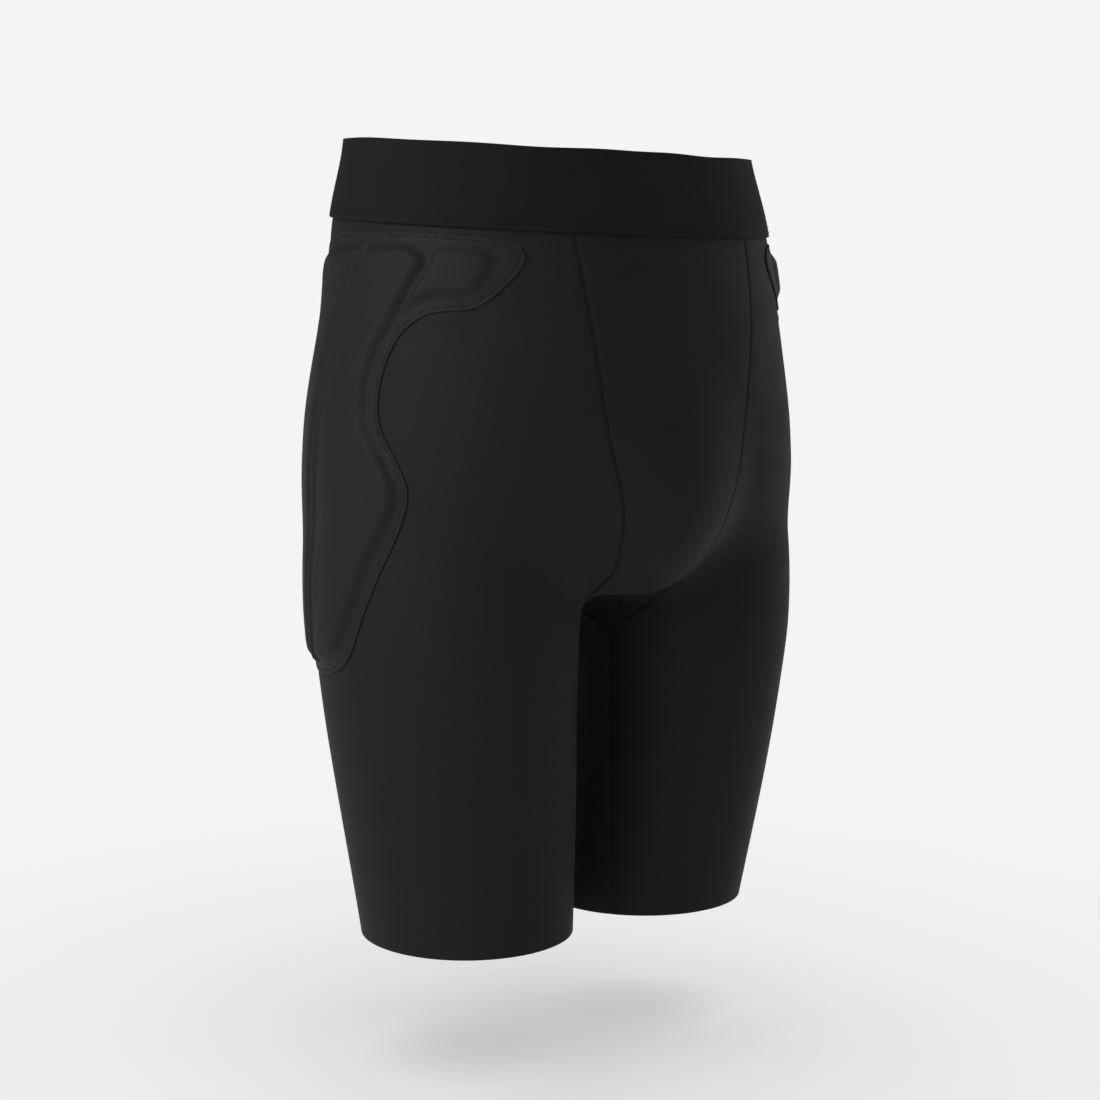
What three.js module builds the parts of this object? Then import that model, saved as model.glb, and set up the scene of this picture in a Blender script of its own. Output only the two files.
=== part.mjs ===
// Padded impact shorts: a fitted pair of protective under-shorts with a wide elastic waist,
// a centre strip of three panels, two leg panels, moulded foam at the hips, the seat and the
// tailbone, and a fabric cover stitched over each group of pads.
//
// Millimetres, +Z up. The wearer faces -Y and the wearer's left side is +X. The origin is the
// middle of the waist opening, at the level of the waistband's top edge.

import * as THREE from 'three';

// ---------------------------------------------------------------- driving sizes

// heights
const BAND_HEIGHT = 50;              // waistband, top edge to bottom edge
const BAND_LAP = 9;                  // how far the panels run up under the waistband
const WAIST_TILT = 0.085;            // how much the waist dips from back to front
const CROTCH_Z = -298;               // lowest point of the gusset, at the top of the inseams
const HEM_Z = -482;                  // cut edge of both legs

// half widths and half depths of the body inside the fabric
const WAIST = { halfWidth: 133, halfDepth: 98 };
const BAND_FOOT = { halfWidth: 143, halfDepth: 107 };
const HIP = { halfWidth: 151, halfDepth: 110 };
const THIGH = { offset: 90.5, halfWidth: 77, halfDepth: 83 };
const KNEE_SIDE = { offset: 84, halfWidth: 71, halfDepth: 75 };
const HEM = { offset: 72.5, halfWidth: 64, halfDepth: 66 };

// fabrics and foam
const SHELL = 1.0;                   // knitted shell fabric
const ELASTIC = 1.8;                 // waistband webbing
const TAPE = 0.6;                    // bonded tapes on the inside
const COVER = 0.8;                   // fabric over the pads
const THREAD = 0.7;                  // height of a line of stitching
const THREAD_WIDTH = 2.0;
const HIP_FOAM = 6.2;                // pad thickness
const SEAT_FOAM = 5.5;
const HEM_TAPE_HEIGHT = 16;
const JOIN_TAPE_HEIGHT = 15;

// clearances
const GAP = 0.3;                     // between layers that touch
const SEAM_GAP = 0.22 * SHELL;       // half the space left along a panel seam
const RING_SAG = 0.7;                // how far a flat facet lies inside the curve it stands for
const COVER_SLACK = 1.6;             // between a pad's top and its cover

// panel edges, as angles round the leg's own axis: -90 is straight ahead, 90 is straight back
const LEG_AXIS = { x: 75, y: -8 };
const INSEAM = -151;

// ---------------------------------------------------------------- the body under the fabric

const EPS = 0.05;

// smooth curve through [height, value, value, ...] stations, listed from the top down
function profile(stations, z) {
  const last = stations.length - 1;
  let i = 0;
  while (i < last - 1 && z < stations[i + 1][0]) i += 1;
  const slope = (a, b, k) => (stations[b][k] - stations[a][k]) / (stations[b][0] - stations[a][0]);
  const tangent = (j, k) => {
    if (j === 0) return slope(0, 1, k);
    if (j === last) return slope(last - 1, last, k);
    return 0.5 * (slope(j - 1, j, k) + slope(j, j + 1, k));
  };
  const h = stations[i + 1][0] - stations[i][0];
  const t = THREE.MathUtils.clamp((z - stations[i][0]) / h, 0, 1);
  const values = [];
  for (let k = 1; k < stations[0].length; k += 1) {
    const a = stations[i][k];
    const b = stations[i + 1][k];
    const ma = tangent(i, k) * h;
    const mb = tangent(i + 1, k) * h;
    values.push(a * (1 + 2 * t) * (1 - t) ** 2 + ma * t * (1 - t) ** 2
      + b * t * t * (3 - 2 * t) - mb * t * t * (1 - t));
  }
  return values;
}

// height, half width, half depth, middle in y
const TRUNK = [
  [20, WAIST.halfWidth - 2, WAIST.halfDepth - 2, -1],
  [-5, WAIST.halfWidth, WAIST.halfDepth, -1],
  [-BAND_HEIGHT - 2, BAND_FOOT.halfWidth, BAND_FOOT.halfDepth, -3],
  [CROTCH_Z + 188, HIP.halfWidth - 3, HIP.halfDepth, -10],
  [CROTCH_Z + 138, HIP.halfWidth, HIP.halfDepth, -11.5],
  [CROTCH_Z + 88, HIP.halfWidth, HIP.halfDepth - 2, -10],
  [CROTCH_Z - 32, HIP.halfWidth - 3, HIP.halfDepth - 6, -4],
];
const TRUNK_FLOOR = { start: CROTCH_Z + 108, depth: 82 };

// height, axis x, axis y, half width, half depth
const LEG = [
  [CROTCH_Z + 198, THIGH.offset - 10, -4, THIGH.halfWidth - 11, THIGH.halfDepth - 11],
  [CROTCH_Z + 98, THIGH.offset - 4, -8, THIGH.halfWidth - 3, THIGH.halfDepth - 1],
  [CROTCH_Z + 43, THIGH.offset, -10, THIGH.halfWidth, THIGH.halfDepth],
  [CROTCH_Z - 2, THIGH.offset, -11, THIGH.halfWidth, THIGH.halfDepth - 1],
  [(CROTCH_Z - 2) * 0.79 + HEM_Z * 0.21, THIGH.offset - 1.5, -11, THIGH.halfWidth - 3, THIGH.halfDepth - 4],
  [(CROTCH_Z - 2) * 0.52 + HEM_Z * 0.48, KNEE_SIDE.offset, -10, KNEE_SIDE.halfWidth, KNEE_SIDE.halfDepth],
  [HEM_Z, HEM.offset, -6, HEM.halfWidth, HEM.halfDepth],
];
const LEG_TOP = { start: CROTCH_Z + 118, depth: 110 };

const POUCH = { centre: [0, -84, CROTCH_Z + 93], radii: [52, 46, 66] };
const BUTTOCK = { centre: [56, 42, CROTCH_Z + 120], radii: [65, 58, 84] };

function blend(a, b, width) {
  const h = Math.max(width - Math.abs(a - b), 0) / width;
  return Math.min(a, b) - h * h * width / 4;
}

function trunk(x, y, z) {
  const [a, b, middle] = profile(TRUNK, z);
  const below = Math.max(TRUNK_FLOOR.start - z, 0) / TRUNK_FLOOR.depth;
  const power = 2.25;
  const sum = (Math.abs(x) / a) ** power + (Math.abs(y - middle) / b) ** power + below ** power;
  return (sum ** (1 / power) - 1) * 0.5 * (a + b);
}

function leg(x, y, z) {
  const [axisX, axisY, a, b] = profile(LEG, z);
  const above = Math.max(z - LEG_TOP.start, 0) / LEG_TOP.depth;
  return (Math.hypot((x - axisX) / a, (y - axisY) / b, above) - 1) * 0.5 * (a + b);
}

function ellipsoid(x, y, z, { centre, radii }) {
  const r = Math.hypot((x - centre[0]) / radii[0], (y - centre[1]) / radii[1], (z - centre[2]) / radii[2]);
  return (r - 1) * Math.min(...radii);
}

// below zero inside the body, above zero outside
function body(x, y, z) {
  let f = blend(leg(x, y, z), leg(-x, y, z), 10);
  f = blend(trunk(x, y, z), f, 30);
  f = blend(f, ellipsoid(x, y, z, POUCH), 26);
  return blend(f, ellipsoid(Math.abs(x), y, z, BUTTOCK), 30);
}

function normalAt(p) {
  return new THREE.Vector3(
    body(p.x + EPS, p.y, p.z) - body(p.x - EPS, p.y, p.z),
    body(p.x, p.y + EPS, p.z) - body(p.x, p.y - EPS, p.z),
    body(p.x, p.y, p.z + EPS) - body(p.x, p.y, p.z - EPS),
  ).normalize();
}

// where the line from a point inside the body first leaves it
function leave(from, direction) {
  const step = 5;
  const inside = (distance) => {
    const q = from.clone().addScaledVector(direction, distance);
    return body(q.x, q.y, q.z) < 0;
  };
  let far = step;
  while (inside(far)) far += step;
  let near = far - step;
  for (let i = 0; i < 30; i += 1) {
    const mid = 0.5 * (near + far);
    if (inside(mid)) near = mid;
    else far = mid;
  }
  return from.clone().addScaledVector(direction, near);
}

// nearest way back to the surface, along its own slope
function settle(p) {
  const q = p.clone();
  for (let i = 0; i < 12; i += 1) {
    const gx = (body(q.x + EPS, q.y, q.z) - body(q.x - EPS, q.y, q.z)) / (2 * EPS);
    const gy = (body(q.x, q.y + EPS, q.z) - body(q.x, q.y - EPS, q.z)) / (2 * EPS);
    const gz = (body(q.x, q.y, q.z + EPS) - body(q.x, q.y, q.z - EPS)) / (2 * EPS);
    const f = body(q.x, q.y, q.z);
    const g2 = gx * gx + gy * gy + gz * gz;
    q.x -= f * gx / g2;
    q.y -= f * gy / g2;
    q.z -= f * gz / g2;
  }
  return q;
}

const radians = THREE.MathUtils.degToRad;

// padded pieces are laid out down the rise, from the waistband's bottom edge to the crotch
const RISE = -BAND_HEIGHT - CROTCH_Z;
const DROP_UNIT = RISE / 100;
const dropHeight = (percent) => -BAND_HEIGHT - percent * DROP_UNIT;

// a point of the left half, by its angle round the leg axis and its height
function sidePoint(angle, z) {
  const from = new THREE.Vector3(LEG_AXIS.x, LEG_AXIS.y, z);
  return leave(from, new THREE.Vector3(Math.cos(radians(angle)), Math.sin(radians(angle)), 0));
}

// a point of the back, by its place across and its share of the rise
function backPoint(x, percent) {
  return leave(new THREE.Vector3(x, 0, dropHeight(percent)), new THREE.Vector3(0, 1, 0));
}

// ---------------------------------------------------------------- solids from layers

function mesh(name, positions, indices, material) {
  const geometry = new THREE.BufferGeometry();
  geometry.setAttribute('position', new THREE.Float32BufferAttribute(positions.flat(), 3));
  geometry.setIndex(indices);
  geometry.computeVertexNormals();
  const part = new THREE.Mesh(geometry, material);
  part.name = name;
  return part;
}

// Turns a solid's faces round when they point inwards.
function outward(positions, indices) {
  let volume = 0;
  for (let i = 0; i < indices.length; i += 3) {
    const [a, b, c] = [0, 1, 2].map((k) => new THREE.Vector3(...positions[indices[i + k]]));
    volume += a.dot(b.cross(c));
  }
  if (volume > 0) return indices;
  const turned = [];
  for (let i = 0; i < indices.length; i += 3) turned.push(indices[i], indices[i + 2], indices[i + 1]);
  return turned;
}

// A closed sheet between two distances from the body. grid[row][column] holds points on the
// body; wrap joins the last column to the first.
function layer(name, grid, inner, outer, material, { wrap = false, level = false } = {}) {
  const rows = grid.length;
  const columns = grid[0].length;
  const positions = [];
  for (const distance of [inner, outer]) {
    for (const row of grid) {
      for (const p of row) {
        const n = normalAt(p);
        if (level) n.setZ(0).normalize();
        positions.push(p.clone().addScaledVector(n, distance).toArray());
      }
    }
  }
  const at = (side, i, j) => side * rows * columns + i * columns + (j % columns);
  const indices = [];
  const quad = (a, b, c, d) => indices.push(a, b, c, a, c, d);
  const last = wrap ? columns : columns - 1;
  for (let i = 0; i < rows - 1; i += 1) {
    for (let j = 0; j < last; j += 1) {
      quad(at(1, i, j), at(1, i + 1, j), at(1, i + 1, j + 1), at(1, i, j + 1));
      quad(at(0, i, j), at(0, i, j + 1), at(0, i + 1, j + 1), at(0, i + 1, j));
    }
  }
  for (let j = 0; j < last; j += 1) {
    quad(at(0, 0, j), at(1, 0, j), at(1, 0, j + 1), at(0, 0, j + 1));
    quad(at(0, rows - 1, j + 1), at(1, rows - 1, j + 1), at(1, rows - 1, j), at(0, rows - 1, j));
  }
  if (!wrap) {
    for (let i = 0; i < rows - 1; i += 1) {
      quad(at(0, i + 1, 0), at(1, i + 1, 0), at(1, i, 0), at(0, i, 0));
      quad(at(0, i, columns - 1), at(1, i, columns - 1), at(1, i + 1, columns - 1), at(0, i + 1, columns - 1));
    }
  }
  return mesh(name, positions, outward(positions, indices), material);
}

// A closed pad or cover: rings of { outline, inner, outer } round a middle point, from the
// innermost ring out. place(u, v) gives the body point for a pair of surface coordinates.
function padded(name, place, middle, rings, material) {
  const positions = [];
  const indices = [];
  const count = rings[0].outline.length;
  const add = (u, v, distance) => {
    const p = place(u, v);
    positions.push(p.clone().addScaledVector(normalAt(p), distance).toArray());
  };
  for (const side of ['inner', 'outer']) {
    add(middle[0], middle[1], rings[0][side]);
    for (const ring of rings) {
      for (const [u, v] of ring.outline) add(u, v, ring[side]);
    }
  }
  const size = 1 + rings.length * count;
  const at = (side, ring, j) => side * size + 1 + ring * count + (j % count);
  for (let j = 0; j < count; j += 1) {
    indices.push(size, at(1, 0, j), at(1, 0, j + 1));
    indices.push(0, at(0, 0, j + 1), at(0, 0, j));
    for (let r = 0; r < rings.length - 1; r += 1) {
      indices.push(at(1, r, j), at(1, r + 1, j), at(1, r + 1, j + 1));
      indices.push(at(1, r, j), at(1, r + 1, j + 1), at(1, r, j + 1));
      indices.push(at(0, r, j), at(0, r + 1, j + 1), at(0, r + 1, j));
      indices.push(at(0, r, j), at(0, r, j + 1), at(0, r + 1, j + 1));
    }
    const rim = rings.length - 1;
    indices.push(at(1, rim, j), at(0, rim, j), at(0, rim, j + 1));
    indices.push(at(1, rim, j), at(0, rim, j + 1), at(1, rim, j + 1));
  }
  return mesh(name, positions, outward(positions, indices), material);
}

const shrunk = (outline, middle, share) => outline.map(([u, v]) => [
  middle[0] + (u - middle[0]) * share, middle[1] + (v - middle[1]) * share]);

// The outline moved inwards by a distance; unit is the length of one step of u.
function inset(outline, distance, unit) {
  const count = outline.length;
  const flat = outline.map(([u, v]) => new THREE.Vector2(u * unit, v * DROP_UNIT));
  const turning = THREE.ShapeUtils.area(flat) > 0 ? 1 : -1;
  return flat.map((p, i) => {
    const along = flat[(i + 1) % count].clone().sub(flat[(i + count - 1) % count]).normalize();
    p = p.clone().add(new THREE.Vector2(-along.y, along.x).multiplyScalar(turning * distance));
    return [p.x / unit, p.y / DROP_UNIT];
  });
}

// Evenly spaced points of a smooth closed curve through a few corners; unit is the length of
// one step of u.
function roundOutline(corners, count, unit) {
  const points = corners.map(([u, v]) => new THREE.Vector3(u * unit, v * DROP_UNIT, 0));
  const curve = new THREE.CatmullRomCurve3(points, true, 'centripetal');
  return curve.getSpacedPoints(count).slice(0, count).map((p) => [p.x / unit, p.y / DROP_UNIT]);
}

// A line of stitching: a low flat cord that follows body points, along a closed or open path.
function stitching(name, path, lift, material, closed = false) {
  const positions = [];
  const count = path.length;
  for (let i = 0; i < count; i += 1) {
    const before = path[closed ? (i + count - 1) % count : Math.max(i - 1, 0)];
    const after = path[closed ? (i + 1) % count : Math.min(i + 1, count - 1)];
    const along = after.clone().sub(before).normalize();
    const n = normalAt(path[i]);
    const across = n.clone().cross(along).normalize().multiplyScalar(THREAD_WIDTH / 2);
    for (const [side, up] of [[-1, 0], [1, 0], [0.6, 1], [-0.6, 1]]) {
      positions.push(path[i].clone().addScaledVector(across, side).addScaledVector(n, lift + up * THREAD).toArray());
    }
  }
  const indices = [];
  const at = (i, k) => (i % count) * 4 + (k % 4);
  for (let i = 0; i < (closed ? count : count - 1); i += 1) {
    for (let k = 0; k < 4; k += 1) {
      indices.push(at(i, k), at(i + 1, k), at(i + 1, k + 1));
      indices.push(at(i, k), at(i + 1, k + 1), at(i, k + 1));
    }
  }
  if (!closed) {
    indices.push(0, 1, 2, 0, 2, 3);
    const e = (count - 1) * 4;
    indices.push(e, e + 2, e + 1, e, e + 3, e + 2);
  }
  return mesh(name, positions, outward(positions, indices), material);
}

const mirrored = (grid) => grid.map((row) => row.map((p) => new THREE.Vector3(-p.x, p.y, p.z)));

// ---------------------------------------------------------------- materials

function fabric(color, roughness = 0.9) {
  return new THREE.MeshStandardMaterial({ color, roughness, metalness: 0 });
}
const knit = fabric(0x2a2a2c);
const elastic = fabric(0x1f1f1e, 0.85);
const coverKnit = fabric(0x303033);
const thread = fabric(0x161617, 0.7);
const tape = fabric(0x1a1a1b, 0.8);
const foam = fabric(0x3c3c40, 0.95);

// ---------------------------------------------------------------- where the panels meet

const waistTop = (y) => WAIST_TILT * y;
const bandBottom = (y) => waistTop(y) - BAND_HEIGHT;

// height, angle of the front seam, angle of the back seam
const SEAMS = [
  [-BAND_HEIGHT + BAND_LAP, -94.3, 94],
  [CROTCH_Z + 198, -95.5, 92.5],
  [CROTCH_Z + 158, -98, 92],
  [CROTCH_Z + 113, -102, 93],
  [CROTCH_Z + 83, -106, 97],
  [CROTCH_Z + 58, -110, 105],
  [CROTCH_Z + 42, -114.5, 116],
  [CROTCH_Z + 28, -121, 133],
  [CROTCH_Z + 16, -130, 158],
  [CROTCH_Z + 7, -140, 186],
  [CROTCH_Z, INSEAM, INSEAM + 360],
];
const UPPER_ROWS = 15;
const LOWER_ROWS = 6;
const COLUMNS = 22;
const PANEL_TOP = -BAND_HEIGHT + BAND_LAP;

// one row under the waistband, then rows that close up towards the crotch, where the seams
// turn under the body
const upperHeights = [PANEL_TOP, ...Array.from({ length: UPPER_ROWS }, (_, i) => (
  -BAND_HEIGHT - RISE * (1 - (1 - i / (UPPER_ROWS - 1)) ** 1.45)))];
const lowerHeights = Array.from({ length: LOWER_ROWS }, (_, i) => (
  CROTCH_Z + (HEM_Z - CROTCH_Z) * ((i + 1) / LOWER_ROWS) ** 1.25));

const seamAngles = (z) => (z <= CROTCH_Z ? [INSEAM, INSEAM + 360] : profile(SEAMS, z));
const frontEdge = (z) => sidePoint(seamAngles(z)[0], z);
const backEdge = (z) => sidePoint(seamAngles(z)[1], z);

// the top rows dip with the waistband, and the dip fades out down to the hips
function dip(p) {
  const share = THREE.MathUtils.clamp((p.z - (CROTCH_Z + 188)) / (PANEL_TOP - CROTCH_Z - 188), 0, 1);
  return settle(new THREE.Vector3(p.x, p.y, p.z + share * waistTop(p.y)));
}

function legPanelGrid() {
  return [...upperHeights, ...lowerHeights].map((z) => {
    const [front, back] = seamAngles(z);
    const margin = THREE.MathUtils.radToDeg(SEAM_GAP / THIGH.halfWidth);
    return Array.from({ length: COLUMNS + 1 }, (_, j) => {
      const angle = front + margin + (back - front - 2 * margin) * j / COLUMNS;
      return dip(sidePoint(angle, z));
    });
  });
}

// One row of the centre strip, from edge to edge through a middle point.
const STRIP_HALF = 3;
function stripRow(edge, middle) {
  const reach = 1 - SEAM_GAP / edge.x;
  return Array.from({ length: 2 * STRIP_HALF + 1 }, (_, j) => {
    const s = reach * (j - STRIP_HALF) / STRIP_HALF;
    const p = new THREE.Vector3(
      edge.x * s,
      middle.y + (edge.y - middle.y) * s * s,
      middle.z + (edge.z - middle.z) * s * s,
    );
    return dip(settle(p));
  });
}

// The centre strip runs down the front, under the crotch and up the back.
const UNDER_START = CROTCH_Z + 50;
const FRONT_PANEL_TURN = 3;          // rows that the front panel runs on under the body
function middlePoint(z, towards) {
  return leave(new THREE.Vector3(0, -20, z), new THREE.Vector3(0, towards, 0));
}
const frontTurn = middlePoint(UNDER_START, -1);
const backTurn = middlePoint(UNDER_START, 1);
const firstUnder = upperHeights.findIndex((z) => z < UNDER_START);
const underRows = 2 * (UPPER_ROWS - firstUnder) + 1;
function underMiddle(k) {
  const y = frontTurn.y + (backTurn.y - frontTurn.y) * (k + 1) / (underRows + 1);
  return leave(new THREE.Vector3(0, y, CROTCH_Z + 120), new THREE.Vector3(0, 0, -1));
}
const strip = [];
for (let i = 0; i < firstUnder; i += 1) {
  strip.push(stripRow(frontEdge(upperHeights[i]), middlePoint(upperHeights[i], -1)));
}
for (let i = firstUnder; i <= UPPER_ROWS; i += 1) {
  strip.push(stripRow(frontEdge(upperHeights[i]), underMiddle(i - firstUnder)));
}
for (let i = UPPER_ROWS - 1; i >= firstUnder; i -= 1) {
  strip.push(stripRow(backEdge(upperHeights[i]), underMiddle(underRows - 1 - (i - firstUnder))));
}
for (let i = firstUnder - 1; i >= 0; i -= 1) {
  strip.push(stripRow(backEdge(upperHeights[i]), middlePoint(upperHeights[i], 1)));
}
const frontJoin = firstUnder + FRONT_PANEL_TURN;
const backJoin = strip.length - 1 - firstUnder;

// pulls the end row of a panel back from a cross seam
function trimmed(rows, start, end) {
  const grid = rows.map((row) => row.map((p) => p.clone()));
  const pull = (row, next) => row.forEach((p, j) => {
    const towards = next[j].clone().sub(p);
    p.copy(settle(p.clone().addScaledVector(towards.normalize(), SEAM_GAP)));
  });
  if (start) pull(grid[0], rows[1]);
  if (end) pull(grid[grid.length - 1], rows[rows.length - 2]);
  return grid;
}

const shorts = new THREE.Group();

// ---------------------------------------------------------------- shell panels

const legGrid = legPanelGrid();
shorts.add(layer('left_leg_panel', legGrid, 0, SHELL, knit));
shorts.add(layer('right_leg_panel', mirrored(legGrid), 0, SHELL, knit));
shorts.add(layer('front_panel', trimmed(strip.slice(0, frontJoin + 1), false, true), 0, SHELL, knit));
shorts.add(layer('crotch_gusset', trimmed(strip.slice(frontJoin, backJoin + 1), true, true), 0, SHELL, knit));
shorts.add(layer('seat_panel', trimmed(strip.slice(backJoin), true, false), 0, SHELL, knit));

// ---------------------------------------------------------------- waistband and tapes

const BAND_SEGMENTS = 48;

// rings round the trunk between two depths below the tilted waist plane
function waistRings(depths, segments) {
  return depths.map((depth) => Array.from({ length: segments }, (_, j) => {
    const angle = radians(360 * j / segments);
    const direction = new THREE.Vector3(Math.cos(angle), Math.sin(angle), 0);
    const p = leave(new THREE.Vector3(0, 0, -depth), direction);
    return settle(new THREE.Vector3(p.x, p.y, -depth + waistTop(p.y)));
  }));
}
const bandInner = SHELL + GAP + RING_SAG;
shorts.add(layer('waistband_elastic', waistRings([0, BAND_HEIGHT / 2, -PANEL_TOP, BAND_HEIGHT], BAND_SEGMENTS),
  bandInner, bandInner + ELASTIC, elastic, { wrap: true }));
const joinTop = BAND_HEIGHT - BAND_LAP - 2;
const tapeOuter = -(RING_SAG + 1.5 * GAP);
shorts.add(layer('waistband_join_tape', waistRings([joinTop, joinTop + JOIN_TAPE_HEIGHT], BAND_SEGMENTS),
  tapeOuter - TAPE, tapeOuter, tape, { wrap: true }));
const bandStitchPath = waistRings([BAND_HEIGHT - BAND_LAP / 2], BAND_SEGMENTS)[0];
shorts.add(stitching('waistband_stitching', bandStitchPath, bandInner + ELASTIC + GAP, thread, true));

function hemTape(name, side) {
  const last = legGrid.length - 1;
  const bottom = legGrid[last];
  const up = HEM_TAPE_HEIGHT / (legGrid[last - 1][0].z - HEM_Z);
  const rise = bottom.map((p, j) => settle(p.clone().lerp(legGrid[last - 1][j], up)));
  const grid = [rise, bottom].map((row) => row.map((p) => new THREE.Vector3(side * p.x, p.y, p.z)));
  return layer(name, grid, -RING_SAG - TAPE, -RING_SAG, tape);
}
shorts.add(hemTape('left_hem_tape', 1));
shorts.add(hemTape('right_hem_tape', -1));

// ---------------------------------------------------------------- seam stitching

const seamLift = SHELL + 3 * GAP;
const seamStart = upperHeights.findIndex((z) => z < -BAND_HEIGHT - WAIST_TILT * BAND_FOOT.halfDepth - 3);
const seamHeights = upperHeights.slice(seamStart, UPPER_ROWS - 2);
const sideOf = (side) => (p) => new THREE.Vector3(side * p.x, p.y, p.z);
for (const [word, side] of [['left', 1], ['right', -1]]) {
  const front = seamHeights.map((z) => dip(frontEdge(z))).map(sideOf(side));
  const back = seamHeights.map((z) => dip(backEdge(z))).map(sideOf(side));
  const inseamTop = CROTCH_Z - 6;
  const inseam = Array.from({ length: LOWER_ROWS + 1 }, (_, i) => (
    sidePoint(INSEAM, inseamTop + (HEM_Z + 1 - inseamTop) * i / LOWER_ROWS))).map(sideOf(side));
  shorts.add(stitching(`${word}_front_seam`, front, seamLift, thread));
  shorts.add(stitching(`${word}_back_seam`, back, seamLift, thread));
  shorts.add(stitching(`${word}_inseam`, inseam, seamLift + RING_SAG * 0.4, thread));
}
const crossSeam = (row) => row.slice(1, -1);
shorts.add(stitching('front_gusset_seam', crossSeam(strip[frontJoin]), seamLift, thread));
shorts.add(stitching('rear_gusset_seam', crossSeam(strip[backJoin]), seamLift, thread));

// ---------------------------------------------------------------- hip pads and covers

// corners are [angle round the leg axis, percent of the way from the waistband to the crotch]
const HIP_COVER = [[4, 2.4], [-24, 2.8], [-53, 4], [-69, 5], [-76, 7.7], [-74, 11.7], [-65, 17.3],
  [-56, 20.6], [-44, 21.2], [-35, 22.6], [-25, 27.4], [-19, 36.3], [-19.5, 46.4], [-28, 55.2],
  [-32.5, 62.5], [-29, 71], [-22, 80.6], [-14, 92.3], [-7, 101.6], [4, 106], [24, 106.9], [41, 102],
  [51, 88.7], [53, 69.4], [52, 40.3], [50, 18.1], [43, 5.6], [26, 2.4]];
const HIP_FRONT_PAD = [[-42, 8.9], [-53, 8.5], [-62, 9.7], [-63, 12.1], [-57, 15.3], [-49, 16.5], [-40, 16.5],
  [-33, 18.1], [-29.5, 19.4], [-31, 16.9], [-36.5, 12.9]];
const HIP_SIDE_PAD = [[-5, 7.7], [-17, 7.3], [-27, 7.5], [-32, 8.9], [-31, 11.7], [-26, 16.9], [-21, 22.6],
  [-14, 28.2], [-10, 34.7], [-10, 46.4], [-19, 55.2], [-24, 62.5], [-21, 70.6], [-14, 80.2], [-7, 91.5],
  [0, 100], [9, 102.4], [13, 100], [13, 88.7], [13, 68.5], [13, 44.4], [11, 30.2], [3, 16.9]];
const HIP_REAR_PAD = [[12, 8.1], [26, 6.9], [35, 9.7], [41, 19.4], [43, 40.3], [44, 66.5], [41, 85.5],
  [33, 97.6], [24, 101.6], [17, 100.8], [17, 88.7], [17, 68.5], [17, 44.4], [15, 29], [8, 16.9]];
const COVER_SEGMENTS = 38;
const PAD_SEGMENTS = 26;
const FLANGE = 5;                    // stitched-down edge of a cover
const RAMP = 3;                      // from the flange up to the top of the pads
const STITCH_INSET = 2.3;            // line of stitching, from the cover's edge
const SIDE_UNIT = 1.5;               // length of one degree round the leg axis
const padBase = SHELL + GAP + RING_SAG;

// foam: full height in the middle, rounded over at the edge
function foamRings(outline, middle, height, unit) {
  const shoulder = inset(outline, 3, unit);
  const ring = (points, share) => ({ outline: points, inner: padBase, outer: padBase + height * share });
  return [
    ring(shrunk(shoulder, middle, 0.3), 1),
    ring(shrunk(shoulder, middle, 0.6), 1),
    ring(shrunk(shoulder, middle, 0.85), 1),
    ring(shoulder, 0.92),
    ring(outline, 0.35),
  ];
}

// cover: a stitched-down flange, a ramp, and a crown that clears the pads
function coverRings(outline, middle, height, unit) {
  const flange = inset(outline, FLANGE, unit);
  const crown = inset(outline, FLANGE + RAMP, unit);
  const top = padBase + height + COVER_SLACK;
  const ring = (points, level) => ({ outline: points, inner: level, outer: level + COVER });
  return [
    ring(shrunk(crown, middle, 0.25), top),
    ring(shrunk(crown, middle, 0.5), top),
    ring(shrunk(crown, middle, 0.72), top),
    ring(shrunk(crown, middle, 0.9), top),
    ring(crown, top - 0.6),
    ring(flange, padBase),
    ring(outline, padBase),
  ];
}
const stitchLift = padBase + COVER + GAP;

for (const [word, side] of [['left', 1], ['right', -1]]) {
  const place = (angle, percent) => {
    const p = sidePoint(angle, dropHeight(percent));
    p.x *= side;
    return p;
  };
  const pads = [
    ['front', HIP_FRONT_PAD, [-48, 12.5], 0.75],
    ['side', HIP_SIDE_PAD, [-2, 44.4], 1],
    ['rear', HIP_REAR_PAD, [29, 52.4], 1],
  ];
  for (const [where, corners, middle, share] of pads) {
    const rings = foamRings(roundOutline(corners, PAD_SEGMENTS, SIDE_UNIT), middle, HIP_FOAM * share, SIDE_UNIT);
    shorts.add(padded(`${word}_hip_pad_${where}`, place, middle, rings, foam));
  }
  const middle = [4, 24.2];
  const outline = roundOutline(HIP_COVER, COVER_SEGMENTS, SIDE_UNIT);
  const rings = coverRings(outline, middle, HIP_FOAM, SIDE_UNIT);
  shorts.add(padded(`${word}_hip_pad_cover`, place, middle, rings, coverKnit));
  const path = inset(outline, STITCH_INSET, SIDE_UNIT).map(([u, v]) => place(u, v));
  shorts.add(stitching(`${word}_hip_pad_stitching`, path, stitchLift, thread, true));
}

// ---------------------------------------------------------------- seat and tailbone pads

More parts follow.
